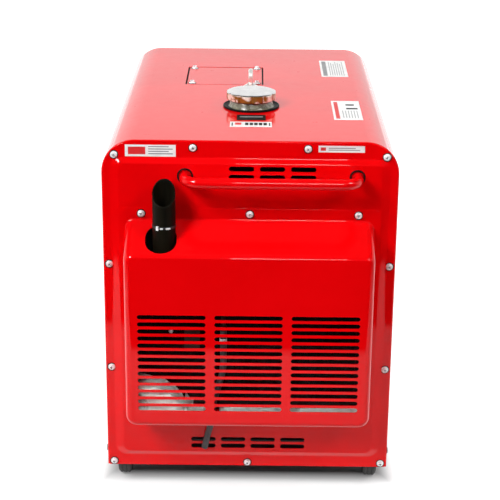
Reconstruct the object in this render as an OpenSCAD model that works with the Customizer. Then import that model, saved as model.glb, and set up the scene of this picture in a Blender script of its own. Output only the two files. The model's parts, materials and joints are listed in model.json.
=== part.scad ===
/* [Body] */
// Width of the enclosure across its side panels
body_w = 530; // [520:1:545]
// Length of the enclosure between its two end panels
body_l = 785; // [780:1:800]
// Height of the enclosure's sheet metal
body_h = 640; // [636:1:660]
// Height of the sheet metal's bottom edge above the floor
ground_gap = 50; // [50:1:56]
// Radius of the two rounded long edges at the top
corner_r = 60; // [50:1:64]
// Thickness of the enclosure's sheet metal
sheet_t = 2; // [1.5:0.1:2]
// How far the middle of each end panel is pressed outwards
raise = 6; // [5:0.5:7]

/* [Exhaust hood] */
// How far the hood stands out from the end panel
hood_d = 80; // [78:1:84]
// Half of the hood's width
hood_half_w = 222.5; // [220:0.5:224]
// Rows of long slots in the hood
slot_rows = 14; // [13:1:14]
// Distance between two rows of slots
slot_pitch = 13.75; // [13.5:0.05:14]
// Height of one slot
slot_h = 8.7; // [8:0.1:9]

/* [Handles] */
// How far each handle stands out from the end panel
handle_reach = 60; // [58:1:64]
// Outer diameter of the handle's tube
handle_tube_d = 19.5; // [18:0.5:22]
// Distance between the two legs of a handle
handle_span = 306; // [290:1:310]
// Sideways offset of the handle at the exhaust end
handle_offset = 37.4; // [30:0.1:38]

/* [Castors] */
// Diameter of a castor wheel
wheel_d = 80; // [78:1:80]
// Width of a castor wheel
wheel_w = 27; // [24:1:27]
// Diameter of a castor's axle
axle_d = 12; // [10:1:12]

/* [Engine and alternator] */
// Height of the crankshaft's centre above the floor
crank_z = 283; // [280:1:285]
// Sideways place of the crankshaft's centre
crank_x = -20; // [-22:1:-18]
// Diameter of the crankshaft
crank_d = 40; // [36:1:42]
// Outer diameter of the exhaust tail pipe
pipe_d = 40; // [38:0.5:41]

/* [Hidden] */
$fn = 48;
// running clearance on a radius, between a shaft and its hole
fit = 0.05;
// clearance on a radius, between a screw's shank and a punched hole
punch = 0.3;
// a small overlap that lets a cut pass clean through a face
cut = 1;

// outer faces of the two end panels, placed so that the hood and the rear
// handle reach equally far from the origin
y_front = -(body_l + handle_reach - hood_d) / 2;
y_rear = y_front + body_l;
half_w = body_w / 2;
inner_w = half_w - sheet_t;
z_top = ground_gap + body_h;
y_raised = y_front - raise;
y_control = y_rear + raise;

// raised middle of an end panel, heights measured from the bottom edge
raised_w = 482;
raised_low = 27;
raised_high = 603;
raised_corner = 30;
// width of the inward lips that the end panels screw onto
lip_w = 20;

// the top cover ends and the side panels start at this height
split_z = z_top - 101;
// a gap between two sheets that meet edge to edge
seam = 0.5;

// border screws, [x, height above the bottom edge], one side of the middle
border_screws = [[242, 613], [102, 626.5], [254, 407], [254, 203], [253, 8]];
middle_screw = [0, 7.5];
screw_d = 6;
screw_flange_d = 13;
screw_head_w = 10;
screw_head_h = 4;
screw_flange_h = 1.5;

// hood, heights measured from the bottom edge
hood_low = 118;
hood_edge = 449;
hood_fold = 495.5;
hood_top = 517;
hood_flange_low = 104;
hood_flange_half_w = 235;
hood_corner = 20;
slot_len = 122.5;
slot_col_pitch = 138;
slot_first = 335.25;
hood_screws = [[-194.4, 506.5], [0, 506.5], [194.4, 506.5], [-194.4, 111.2], [0, 111.2], [194.4, 111.2]];

// tail pipe: centre of its upright part and of its opening in the hood
pipe_x = -151.5;
pipe_y = y_front - 40;
pipe_wall = 1.5;
pipe_bend = 35;
pipe_run_z = ground_gap + 420;
pipe_mouth_low = ground_gap + 530;
pipe_mouth_high = ground_gap + 574;
pipe_hole_x = -157;
pipe_hole_w = 56;
pipe_hole_len = 65;

// handles
handle_r = handle_tube_d / 2;
handle_z = ground_gap + 576.5;
handle_hole_r = 12.5;
handle_bend = 28;

// muffler, an oval can lying across the machine
muffler_x0 = -212;
muffler_x1 = 92;
muffler_y = y_front + 78;
muffler_z = ground_gap + 385;
muffler_d = 110;
muffler_h = 150;

// condensate drain under the muffler, and the hose on it
drain_x = -46;
drain_y = y_front - 30;
drain_z = ground_gap + 325;
drain_bend = 15;
drain_pipe_d = 9;
hose_d = 12;
hose_sides = 10;
hose_top = ground_gap + 292;

// foil-faced pad on the floor of the hood
foil_high = ground_gap + 150;
foil_back = y_front - 24;
hose_gap = [-74, -54];

// top of the machine
cap_y = -130.5;
cap_r = 48;
neck_r = 34;
neck_wall = 3;
neck_top = z_top + 20;
grommet_r = 54;
grommet_boss_r = 41;
cover_hole_r = 40;
eye_x = -2;
eye_y = y_front + 411;
plate_mid = [-55.5, y_front + 511.5];
plate_size = [153, 157];
plate_gap = 3;
plate_open = [88, 120];
plate_screw_in = 10.5;

// side door
door_y0 = -189.5;
door_hinge_y = 241.5;
hinge_r = 4;
hinge_pin_r = 2;
hinge_clear = 5;
knuckles = 5;
door_low = ground_gap + 2;
door_high = split_z - 1;
latch_y = -170;
latch_z = 330;

// castors
wheel_r = wheel_d / 2;
axle_r = axle_d / 2;
base_floor = ground_gap + 50;
base_t = 3;
front_castor = [237, y_front + 72.5];
rear_castor = [185, 320];
castor_trail = 28;
castor_plate_t = 3;
fork_gap = 2;
fork_t = 3;
king_r = 6;
crown_low = 83;
crown_high = 88;
crown_r = 24;

// post of the lifting bracket, on a lug of the crankcase
bracket_x = [-12, 28];
bracket_y = [14, 29];
bracket_foot = 412;

// engine
mount_h = 30;
engine_low = base_floor + base_t + mount_h;
case_x = [crank_x - 100, crank_x + 100];
case_y = [20, 200];
case_top = 370;
crank_r = crank_d / 2;
cyl_y = 110;
cyl_r = 52;
fin_r = 80;
fin_pitch = 10;
head_low = 470;
head_high = 525;
head_size = 150;
rocker_high = 582;
fly_y = [232, 262];
fly_r = 118;
fan_shell_r = 145;

// alternator
stator_y = [-190, -10];
stator_r = 125;
bore_r = 85;
air_gap = 1;
bell_y = [-226, -190];

// fuel tank
tank_x = 215;
tank_y = [-235, 12];
tank_z = [562, 668];

// control plate on the control end
plate_low = ground_gap + 345;
plate_high = ground_gap + 535;
plate_half = 170;
plate_t = 3;
y_plate = y_control + plate_t;
meter_at = [110, 545];
meter_w = 64;
key_at = [110, 445];
key_r = 11;
breaker_at = [20, 535];
breaker_w = 46;
breaker_h = 66;
socket_at = [-85, 490];
socket_r = 40;
lid_hinge_z = socket_at[1] + socket_r + 6;
stud_at = [[0, 430], [34, 430], [150, 420]];
stud_r = 3;
button_at = [66, 430];
button_r = 6;

// ---------- shared shapes ----------

// rectangle with round corners, centred
module rounded(w, h, r) {
    union() {
        square([w - 2 * r, h], center = true);
        square([w, h - 2 * r], center = true);
        for (sx = [-1, 1], sy = [-1, 1])
            translate([sx * (w / 2 - r), sy * (h / 2 - r)])
                circle(r = r);
    }
}

// slot with round ends, centred
module oblong(len, h) {
    union() {
        square([len - h, h], center = true);
        for (s = [-1, 1])
            translate([s * (len - h) / 2, 0])
                circle(d = h);
    }
}

// cross-section of the enclosure, seen from the end, from its bottom edge up
module body_outline(inset = 0) {
    w = half_w - inset;
    r = corner_r - inset;
    h = body_h - inset;
    union() {
        translate([-w, 0])
            square([2 * w, h - r]);
        translate([-w + r, 0])
            square([2 * (w - r), h]);
        for (s = [-1, 1])
            translate([s * (w - r), h - r])
                circle(r = r);
    }
}

// draws an x-z outline as a plate whose rear face is at y and front face at y - t
module upright(y, t, z = ground_gap) {
    translate([0, y, z])
        rotate([90, 0, 0])
            linear_extrude(t)
                children();
}

// draws a y-z outline as a plate from x towards +X
module sideways(x, t) {
    translate([x, 0, 0])
        rotate([90, 0, 90])
            linear_extrude(t)
                children();
}

// round bar along Y from y0 to y1
module bar_y(x, z, r, y0, y1) {
    translate([x, y1, z])
        rotate([90, 0, 0])
            cylinder(r = r, h = y1 - y0);
}

// round bar along X from x0 to x1
module bar_x(y, z, r, x0, x1) {
    translate([x0, y, z])
        rotate([0, 90, 0])
            cylinder(r = r, h = x1 - x0);
}

// a full block given by its low and high corners
module block(a, b) {
    translate(a)
        cube(b - a);
}

// mirrored pair about the middle plane
module both_sides() {
    children();
    mirror([1, 0, 0])
        children();
}

// the positions of the screws in an end panel's border
module at_border_screws() {
    for (p = border_screws, s = [-1, 1])
        translate([s * p[0], p[1]])
            children();
    translate(middle_screw)
        children();
}

// hex flange screw, head towards -Y, its flange resting on the plane y = 0
module flange_screw(length) {
    rotate([90, 0, 0])
        union() {
            translate([0, 0, -length])
                cylinder(d = screw_d, h = length);
            cylinder(d = screw_flange_d, h = screw_flange_h);
            difference() {
                cylinder(d = screw_head_w / cos(30), h = screw_head_h + screw_flange_h, $fn = 6);
                translate([0, 0, screw_head_h])
                    linear_extrude(screw_flange_h + cut)
                        union() {
                            square([6, 1.2], center = true);
                            square([1.2, 6], center = true);
                        }
            }
        }
}

// ---------- enclosure ----------

module base_frame() {
    low = ground_gap + 2;
    x = inner_w;
    y0 = y_front + 2 * sheet_t;
    y1 = y_rear - 2 * sheet_t;
    color("#26272a")
        difference() {
            union() {
                block([-x, y0, base_floor], [x, y1, base_floor + base_t]);
                for (y = [y0, y1 - base_t])
                    block([-x, y, low], [x, y + base_t, base_floor]);
                both_sides()
                    block([x - base_t, y0, low], [x, y1, base_floor]);
                for (y = [-120, 80])
                    block([-x, y, base_floor - 25], [x, y + base_t, base_floor]);
            }
            // screw holes in the two end flanges
            for (y = [y0, y1 - base_t])
                upright(y + base_t + cut, base_t + 2 * cut)
                    at_border_screws()
                        circle(r = screw_d / 2 + fit);
            at_side_screws()
                bar_x(0, 0, screw_d / 2 + fit, -base_t - cut, cut);
        }
}

// the wall, its end lips and the cut-off heights shared by cover and side panels
module wrap(z0, z1, y0, y1, lip_front, lip_rear) {
    intersection() {
        union() {
            upright(y1, y1 - y0)
                difference() {
                    body_outline();
                    body_outline(sheet_t);
                }
            if (lip_front) upright(y0 + sheet_t, sheet_t) lip_ring();
            if (lip_rear) upright(y1, sheet_t) lip_ring();
        }
        block([-half_w - cut, y0 - cut, z0], [half_w + cut, y1 + cut, z1]);
    }
}

module lip_ring() {
    difference() {
        body_outline();
        body_outline(lip_w);
        at_border_screws()
            circle(r = screw_d / 2 + fit);
    }
}

module top_cover() {
    y0 = y_front + sheet_t;
    y1 = y_rear - sheet_t;
    color("#cc0f16")
        difference() {
            union() {
                wrap(split_z, z_top + cut, y0, y1, true, true);
                // pressed ledge that the access plate rests on
                translate([plate_mid[0], plate_mid[1], z_top - 2 * sheet_t])
                    linear_extrude(sheet_t)
                        rounded(plate_size[0] + 20, plate_size[1] + 20, 6);
            }
            translate([plate_mid[0], plate_mid[1], z_top - sheet_t])
                linear_extrude(sheet_t + cut)
                    rounded(plate_size[0] + 2 * plate_gap, plate_size[1] + 2 * plate_gap, 5);
            translate([plate_mid[0], plate_mid[1], z_top - 3 * sheet_t])
                linear_extrude(3 * sheet_t)
                    rounded(plate_open[0], plate_open[1], 8);
            at_plate_screws()
                translate([0, 0, z_top - 3 * sheet_t])
                    cylinder(r = screw_d / 2 + fit, h = 3 * sheet_t);
            translate([0, cap_y, z_top - 2 * sheet_t])
                cylinder(r = cover_hole_r + fit, h = 3 * sheet_t);
            translate([eye_x, eye_y, z_top - 2 * sheet_t])
                cylinder(r = 9, h = 3 * sheet_t);
        }
}

module at_plate_screws() {
    for (sx = [-1, 1], sy = [-1, 1])
        translate([
            plate_mid[0] + sx * (plate_size[0] / 2 - plate_screw_in),
            plate_mid[1] + sy * (plate_size[1] / 2 - plate_screw_in),
            0
        ])
            children();
}

module access_plate() {
    color("#cc0f16")
        difference() {
            translate([plate_mid[0], plate_mid[1], z_top - sheet_t])
                linear_extrude(sheet_t)
                    rounded(plate_size[0], plate_size[1], 4);
            at_plate_screws()
                translate([0, 0, z_top - 2 * sheet_t])
                    cylinder(r = screw_d / 2 + punch, h = 3 * sheet_t);
        }
}

// one side wall, x > 0, between two heights and two y places
module side_wall(y0, y1, lip_front, lip_rear) {
    intersection() {
        wrap(ground_gap, split_z - seam, y0, y1, lip_front, lip_rear);
        block([half_w - lip_w, y0 - cut, 0], [half_w + cut, y1 + cut, z_top]);
    }
}

side_screw_z = [ground_gap + 25];
side_screw_y = [y_front + 22, y_front + 165, 300, y_rear - 22];

// the places of the screws that hold the side panels to the base, on both sides
module at_side_screws() {
    for (y = side_screw_y, z = side_screw_z) {
        translate([inner_w, y, z])
            children();
        mirror([1, 0, 0])
            translate([inner_w, y, z])
                children();
    }
}

module left_side_panel() {
    y0 = y_front + sheet_t;
    y1 = y_rear - sheet_t;
    rows = 8;
    color("#cc0f16")
        difference() {
            mirror([1, 0, 0])
                side_wall(y0, y1, true, true);
            at_side_screws()
                bar_x(0, 0, screw_d / 2 + punch, -cut, sheet_t + cut);
            for (col = [-1:1], row = [0:rows - 1])
                sideways(-half_w - cut, sheet_t + 2 * cut)
                    translate([150 + col * slot_col_pitch, 240 + row * 18])
                        oblong(slot_len, slot_h);
        }
}

module right_front_side_panel() {
    color("#cc0f16")
        difference() {
            side_wall(y_front + sheet_t, door_y0 - 1, true, false);
            at_side_screws()
                bar_x(0, 0, screw_d / 2 + punch, -cut, sheet_t + cut);
        }
}

module right_rear_side_panel() {
    color("#cc0f16")
        difference() {
            side_wall(door_hinge_y + hinge_clear, y_rear - sheet_t, false, true);
            at_side_screws()
                bar_x(0, 0, screw_d / 2 + punch, -cut, sheet_t + cut);
        }
}

// a sheet end panel with a pressed middle, its outer face looking towards -Y
module end_sheet() {
    mid = (raised_low + raised_high) / 2;
    tall = raised_high - raised_low;
    difference() {
        union() {
            upright(y_front + sheet_t, sheet_t)
                body_outline();
            upright(y_front, raise)
                translate([0, mid])
                    rounded(raised_w, tall, raised_corner);
        }
        upright(y_front + sheet_t + cut, raise + cut)
            translate([0, mid])
                rounded(raised_w - 2 * sheet_t, tall - 2 * sheet_t, raised_corner - sheet_t);
        upright(y_front + sheet_t + cut, sheet_t + 2 * cut)
            at_border_screws()
                circle(r = screw_d / 2 + punch);
    }
}

module exhaust_end_panel() {
    color("#cc0f16")
        difference() {
            end_sheet();
            upright(y_front, raise + cut) {
                // two rows of vents between the handle's legs
                for (col = [-1:1], z = [575, 590])
                    translate([39.5 + col * 55, z])
                        oblong(45, 9);
                // two rows of vents under the hood
                for (col = [-1.5:1.5], z = [44.5, 58.2])
                    translate([0.7 + col * 56, z])
                        oblong(46, 9);
                // outlets for the hot air behind the hood
                for (col = [-1:1], row = [0, 1])
                    translate([col * slot_col_pitch, 199 + row * 98])
                        rounded(120, 88, 6);
                for (s = [-1, 1])
                    translate([handle_offset + s * handle_span / 2, handle_z - ground_gap])
                        circle(r = handle_hole_r);
                translate([pipe_x, pipe_run_z - ground_gap])
                    circle(r = pipe_d / 2 + 3);
                for (p = hood_screws)
                    translate(p)
                        circle(r = screw_d / 2 + fit);
            }
        }
}

// y-z outline of the hood, moved inwards by a wall's thickness
module hood_profile(t) {
    back = y_front;
    slope_y = y_front - raise - sheet_t;
    face = y_front - hood_d + t;
    polygon([
        [back + t, hood_low + t],
        [back + t, hood_fold - t],
        [slope_y + t * 0.5, hood_fold - t],
        [face, hood_edge - t * 0.6],
        [face, hood_low + t]
    ]);
}

module hood_body(t) {
    w = hood_half_w - t;
    tall = hood_top + 60 - hood_low;
    intersection() {
        translate([0, 0, ground_gap])
            sideways(-w, 2 * w)
                hood_profile(t);
        upright(y_front + 2 * sheet_t, hood_d + 4 * sheet_t)
            translate([0, hood_low + t + tall / 2])
                rounded(2 * w, tall, hood_corner - t);
    }
}

module exhaust_hood() {
    slope = atan((hood_fold - hood_edge) / (hood_d - raise - sheet_t));
    color("#cc0f16")
        difference() {
            union() {
                intersection() {
                    difference() {
                        hood_body(0);
                        hood_body(sheet_t);
                    }
                    block([-body_w, y_front - hood_d - cut, 0], [body_w, y_raised, z_top]);
                }
                upright(y_raised, sheet_t)
                    difference() {
                        translate([0, (hood_top + hood_flange_low) / 2])
                            rounded(2 * hood_flange_half_w, hood_top - hood_flange_low, 12);
                        translate([0, (hood_fold + hood_low) / 2])
                            rounded(
                                2 * (hood_half_w - sheet_t),
                                hood_fold - hood_low - 2 * sheet_t,
                                hood_corner - sheet_t
                            );
                    }
            }
            upright(y_front - hood_d + sheet_t + cut, sheet_t + 2 * cut)
                for (col = [-1:1], row = [0:slot_rows - 1])
                    translate([col * slot_col_pitch, slot_first - row * slot_pitch])
                        oblong(slot_len, slot_h);
            upright(y_raised + cut, sheet_t + 2 * cut)
                for (p = hood_screws)
                    translate(p)
                        circle(r = screw_d / 2 + punch);
            // opening for the tail pipe, square to the sloping wall
            translate([pipe_hole_x, y_front - 45.6, ground_gap + 470.6])
                rotate([slope, 0, 0])
                    translate([0, 0, -12])
                        linear_extrude(24)
                            rotate(90)
                                oblong(pipe_hole_len, pipe_hole_w);
            // opening for the drain hose in the floor
            translate([-66, y_front - 21, ground_gap + hood_low - cut])
                cylinder(r = 9, h = sheet_t + 2 * cut);
        }
}

module control_end_panel() {
    color("#cc0f16")
        difference() {
            rotate(180)
                translate([0, -(y_front + y_rear), 0])
                    end_sheet();
            upright(y_control + cut, raise + cut) {
                for (s = [-1, 1])
                    translate([s * handle_span / 2, handle_z - ground_gap])
                        circle(r = handle_hole_r);
                // cooling air inlets
                for (col = [-1:1], row = [0:9])
                    translate([col * slot_col_pitch, 90 + row * 18])
                        oblong(slot_len, slot_h);
            }
            // cut-outs behind the control plate
            upright(y_control + cut, raise + cut, 0) {
                translate(meter_at)
                    circle(r = meter_w / 2 - 2);
                translate(key_at)
                    circle(r = key_r + 4);
                translate(breaker_at)
                    square([breaker_w + 2, breaker_h + 2], center = true);
                translate(socket_at)
                    circle(r = socket_r - 3);
                for (p = concat(stud_at, [button_at]))
                    translate(p)
                        circle(r = button_r + 4);
            }
        }
}

module panel_screws() {
    color("#c9ccd0") {
        for (p = border_screws, s = [-1, 1])
            translate([s * p[0], 0, ground_gap + p[1]]) {
                translate([0, y_front, 0])
                    flange_screw(12);
                translate([0, y_rear, 0])
                    rotate(180)
                        flange_screw(12);
            }
        translate([0, 0, ground_gap + middle_screw[1]]) {
            translate([0, y_front, 0])
                flange_screw(12);
            translate([0, y_rear, 0])
                rotate(180)
                    flange_screw(12);
        }
        for (p = hood_screws)
            translate([p[0], y_raised - sheet_t, ground_gap + p[1]])
                flange_screw(8);
        at_plate_screws()
            translate([0, 0, z_top])
                rotate([-90, 0, 0])
                    flange_screw(8);
    }
}

module side_screws() {
    color("#26272a")
        at_side_screws()
            union() {
                bar_x(0, 0, screw_d / 2, -8, sheet_t);
                bar_x(0, 0, 6, sheet_t, sheet_t + 3);
            }
}

// bent tube handle whose bar is at the reach, legs running back towards +Y
module handle(x_mid) {
    bar_y_mid = -handle_reach + handle_r;
    half = handle_span / 2;
    leg_end = -raise + sheet_t;
    translate([x_mid, 0, handle_z])
        union() {
            bar_x(bar_y_mid, 0, handle_r, -half + handle_bend, half - handle_bend);
            for (s = [-1, 1]) {
                translate([s * (half - handle_bend), bar_y_mid + handle_bend, 0])
                    rotate(s > 0 ? -90 : 180)
                        rotate_extrude(angle = 90)
                            translate([handle_bend, 0])
                                circle(r = handle_r);
                bar_y(s * half, 0, handle_r, bar_y_mid + handle_bend, leg_end + 20);
                // washer plate that clamps the leg behind the panel
                bar_y(s * half, 0, 18, leg_end, leg_end + 3);
            }
        }
}

module front_handle() {
    color("#d0121a")
        translate([0, y_front, 0])
            handle(handle_offset);
}

module rear_handle() {
    color("#d0121a")
        translate([0, y_rear, 0])
            rotate(180)
                handle(0);
}

module lifting_eye() {
    ring_z = z_top + 22;
    color("#c5c8cc")
        translate([eye_x, eye_y, 0])
            difference() {
                union() {
                    translate([0, 0, ring_z])
                        rotate([0, 90, 0])
                            translate([0, 0, -4.5])
                                cylinder(r = 16, h = 9);
                    translate([0, 0, z_top])
                        cylinder(r1 = 15, r2 = 6, h = 8);
                    translate([0, 0, z_top + 4])
                        cylinder(r = 6, h = 6);
                    translate([0, 0, z_top - 30])
                        cylinder(r = 6, h = 32);
                    translate([0, 0, z_top - sheet_t])
                        cylinder(r = 8.5, h = sheet_t);
                }
                translate([-cut, 0, ring_z])
                    rotate([0, 90, 0])
                        translate([0, 0, -15])
                            cylinder(r = 9, h = 30);
            }
}

// steel bracket that stands on the crankcase and carries the lifting eye
module lifting_bracket() {
    z1 = z_top - sheet_t - 2;
    color("#3a3c40")
        difference() {
            union() {
                block([bracket_x[0], bracket_y[0], bracket_foot], [bracket_x[1], bracket_y[1], z1]);
                block([eye_x - 20, bracket_y[0], z1 - 46], [bracket_x[1], eye_y + 15, z1]);
            }
            translate([eye_x, eye_y, z1 - 60])
                cylinder(r = 6, h = 80);
        }
}

// ---------- side door ----------

// the hinge stands clear of the base frame
hinge_low = base_floor + base_t + 5;
knuckle_len = (door_high - hinge_low) / knuckles;

// barrel segments of the door's hinge; own = 0 for the fixed ones, 1 for the door's
module barrels(own) {
    for (i = [0:knuckles - 1])
        if (i % 2 == own)
            translate([half_w - sheet_t / 2, door_hinge_y, hinge_low + i * knuckle_len + seam / 2])
                children();
}

module service_door() {
    x0 = inner_w;
    color("#cc0f16")
        difference() {
            union() {
                block([x0, door_y0, door_low], [half_w, door_hinge_y - hinge_clear, door_high]);
                barrels(1)
                    union() {
                        cylinder(r = hinge_r, h = knuckle_len - seam);
                        translate([-sheet_t / 2, -hinge_clear - cut, 0])
                            cube([sheet_t, hinge_clear + cut, knuckle_len - seam]);
                    }
                // folded stiffening edge along the free side
                block([x0 - 8, door_y0, door_low + 60], [x0, door_y0 + sheet_t, door_high]);
            }
            translate([half_w - sheet_t / 2, door_hinge_y, hinge_low - cut])
                cylinder(r = hinge_pin_r + fit, h = door_high - hinge_low + 2 * cut);
            bar_x(latch_y, latch_z, 6 + fit, x0 - cut, half_w + cut);
            // notch that lets the latch's cam through the folded edge
            block([x0 - 10, door_y0 - cut, latch_z - 20], [x0, door_y0 + 2 * sheet_t, latch_z + 45]);
            // louvre slots
            for (row = [0:7])
                sideways(x0 - cut, sheet_t + 2 * cut)
                    translate([60, 380 + row * 18])
                        oblong(200, slot_h);
        }
}

module door_foam() {
    color("#2b2b2d")
        difference() {
            block([inner_w - 11, door_y0 + 45, 115], [inner_w, door_hinge_y - 30, door_high - 8]);
            sideways(inner_w - 12, 13)
                translate([60, 443])
                    rounded(214, 144, 6);
        }
}

module door_hinge() {
    color("#c9ccd0")
        union() {
            barrels(0)
                union() {
                    cylinder(r = hinge_r, h = knuckle_len - seam);
                    translate([-sheet_t / 2, 0, 0])
                        cube([sheet_t / 2, hinge_clear, knuckle_len - seam]);
                    // leaf screwed to the inside of the fixed panel
                    translate([-sheet_t / 2 - 2, hinge_clear - 2.5, 0])
                        cube([2, 22, knuckle_len - seam]);
                }
            translate([half_w - sheet_t / 2, door_hinge_y, hinge_low])
                cylinder(r = hinge_pin_r, h = door_high - hinge_low);
        }
}

module door_latch() {
    x0 = inner_w;
    color("#2b2b2d")
        union() {
            bar_x(latch_y, latch_z, 6, x0 - 7, half_w + 1);
            difference() {
                bar_x(latch_y, latch_z, 15, half_w + 0.2, half_w + 3);
                block([half_w + 1.5, latch_y - 2, latch_z - 9], [half_w + 4, latch_y + 2, latch_z + 9]);
            }
            // cam, upright while the latch is open
            block([x0 - 7, latch_y - 6, latch_z - 2], [x0 - 4, latch_y + 6, latch_z + 32]);
        }
}

// ---------- fuel system ----------

module filler_grommet() {
    color("#1c1c1e")
        translate([0, cap_y, z_top])
            difference() {
                union() {
                    translate([0, 0, -sheet_t])
                        cylinder(r = cover_hole_r, h = sheet_t);
                    cylinder(r = grommet_r, h = 4);
                    cylinder(r = grommet_boss_r, h = 14);
                }
                translate([0, 0, -sheet_t - cut])
                    cylinder(r = neck_r + 1, h = 20);
            }
}

module fuel_tank() {
    color("#222326")
        difference() {
            union() {
                translate([0, (tank_y[0] + tank_y[1]) / 2, tank_z[0]])
                    linear_extrude(tank_z[1] - tank_z[0])
                        rounded(2 * tank_x, tank_y[1] - tank_y[0], 30);
                translate([0, cap_y, tank_z[1]])
                    cylinder(r = neck_r, h = neck_top - tank_z[1]);
                both_sides()
                    block([tank_x - cut, -212, tank_z[0] + 40], [inner_w, -196, tank_z[0] + 44]);
            }
            translate([0, cap_y, tank_z[1]])
                cylinder(r = neck_r - neck_wall, h = 100);
        }
}

module fuel_cap_seal() {
    color("#1c1c1e")
        translate([0, cap_y, neck_top])
            difference() {
                cylinder(r = neck_r, h = 2);
                translate([0, 0, -cut])
                    cylinder(r = neck_r - neck_wall, h = 4);
            }
}

module fuel_cap() {
    low = z_top + 16;
    rim_low = z_top + 21;
    rim_high = z_top + 31;
    top = z_top + 34;
    inside = neck_top + 2;
    skirt_r = cap_r - 7;
    notches = 12;
    color("#d6d8da")
        translate([0, cap_y, 0])
            difference() {
                union() {
                    translate([0, 0, low])
                        cylinder(r = skirt_r, h = rim_low - low + cut);
                    translate([0, 0, rim_low])
                        cylinder(r = cap_r, h = rim_high - rim_low);
                    translate([0, 0, rim_high])
                        cylinder(r1 = cap_r - 2, r2 = cap_r - 18, h = top - rim_high);
                }
                // finger notches round the rim
                for (i = [1:notches])
                    rotate(i * 360 / notches)
                        translate([cap_r + 2, 0, rim_low - cut])
                            cylinder(r = 4.5, h = rim_high - rim_low - 2);
                translate([0, 0, low - cut])
                    cylinder(r = neck_r + 3, h = inside - low + cut);
            }
}

// ---------- castors ----------

module castor_wheel(x, y) {
    tread = wheel_r;
    half = wheel_w / 2;
    groove = 1.5;
    color("#18181a")
        translate([x, y, wheel_r])
            rotate([0, 90, 0])
                rotate_extrude()
                    polygon([
                        [axle_r + fit, -half],
                        [12, -half],
                        [14, -half + 4],
                        [26, -half + 4],
                        [29, -half + 1],
                        [tread - 4, -half + 1],
                        [tread, -half + 5],
                        [tread, -5],
                        [tread - groove, -4],
                        [tread, -3],
                        [tread, 3],
                        [tread - groove, 4],
                        [tread, 5],
                        [tread, half - 5],
                        [tread - 4, half - 1],
                        [29, half - 1],
                        [26, half - 4],
                        [14, half - 4],
                        [12, half],
                        [axle_r + fit, half]
                    ]);
}

// y-z outline of a castor's leg, from its crown down to the axle
module leg_outline(top, offset_y) {
    union() {
        polygon([[-20, top], [20, top], [offset_y + 11, wheel_r], [offset_y - 11, wheel_r]]);
        translate([offset_y, wheel_r])
            circle(r = 11);
    }
}

// two legs and the axle between them, centred on x = 0
module castor_legs(top, offset_y) {
    x = wheel_w / 2 + fork_gap;
    for (s = [-1, 1])
        sideways(s > 0 ? x : -x - fork_t, fork_t)
            leg_outline(top, offset_y);
    bar_x(offset_y, wheel_r, axle_r, -x - fork_t - 3, x + fork_t + 3);
}

module castor_brackets() {
    plate_z = base_floor - castor_plate_t;
    color("#a9adb2")
        both_sides() {
            // fixed castor under the exhaust end
            translate([front_castor[0], front_castor[1], 0])
                union() {
                    block([-25, -38, plate_z], [22, 38, base_floor]);
                    castor_legs(plate_z + 1, 0);
                }
            // top plate, bearing and king pin of the swivel castor
            translate([rear_castor[0], rear_castor[1], 0])
                union() {
                    block([-40, -40, plate_z], [40, 40, base_floor]);
                    translate([0, 0, crown_high + 0.4])
                        cylinder(r = 20, h = plate_z - crown_high);
                    translate([0, 0, crown_low - 1])
                        cylinder(r = king_r, h = 12);
                }
        }
}

module swivel_fork() {
    color("#a9adb2")
        translate([rear_castor[0], rear_castor[1], 0])
            difference() {
                union() {
                    translate([0, 0, crown_low])
                        cylinder(r = crown_r, h = crown_high - crown_low);
                    castor_legs(crown_low + 2, -castor_trail);
                }
                translate([0, 0, crown_low - 5])
                    cylinder(r = king_r + fit, h = 20);
            }
}

module left_front_wheel() {
    castor_wheel(-front_castor[0], front_castor[1]);
}

module right_front_wheel() {
    castor_wheel(front_castor[0], front_castor[1]);
}

module left_rear_wheel() {
    castor_wheel(-rear_castor[0], rear_castor[1] - castor_trail);
}

module right_rear_wheel() {
    castor_wheel(rear_castor[0], rear_castor[1] - castor_trail);
}

module left_rear_fork() {
    mirror([1, 0, 0])
        swivel_fork();
}

module right_rear_fork() {
    swivel_fork();
}

module rubber_mounts() {
    foot = base_floor + base_t;
    color("#1c1c1e")
        for (p = [[-85, 150], [45, 150], [-75, -208], [35, -208]])
            translate([p[0], p[1], foot])
                union() {
                    cylinder(r = 22, h = 8);
                    translate([0, 0, 8])
                        cylinder(r = 17, h = mount_h - 12);
                    translate([0, 0, mount_h - 4])
                        cylinder(r = 20, h = 4);
                }
}

// ---------- engine ----------

module crankcase() {
    sump = 12;
    color("#8d9196")
        difference() {
            union() {
                translate([crank_x, (case_y[0] + case_y[1]) / 2, engine_low + sump])
                    linear_extrude(case_top - engine_low - sump)
                        rounded(case_x[1] - case_x[0], case_y[1] - case_y[0], 14);
                // feet
                block([case_x[0] - 10, 120, engine_low], [case_x[1] + 10, 180, engine_low + sump + 2]);
                // bell that carries the alternator
                bar_y(crank_x, crank_z, stator_r, stator_y[1], case_y[0] + cut);
                // lug that carries the lifting bracket
                block([bracket_x[0] - 10, 0, crank_z + 100], [bracket_x[1] + 6, bracket_y[1], bracket_foot]);
                // boss of the oil dipstick
                translate([-105, 50, case_top - cut])
                    cylinder(r = 9, h = 11);
            }
            bar_y(crank_x, crank_z, bore_r + 20, stator_y[1] - cut, case_y[0] - 6);
            bar_y(crank_x, crank_z, crank_r + fit, -cut, case_y[1] + cut);
            translate([-105, 50, case_top - 150])
                cylinder(r = 3 + fit, h = 200);
        }
}

module cylinder_barrel() {
    fins = 9;
    color("#7b7f84")
        translate([crank_x, cyl_y, case_top])
            union() {
                cylinder(r = cyl_r, h = head_low - case_top);
                for (i = [0:fins - 1])
                    translate([0, 0, 8 + i * fin_pitch])
                        cylinder(r = fin_r, h = 3);
            }
}

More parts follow.
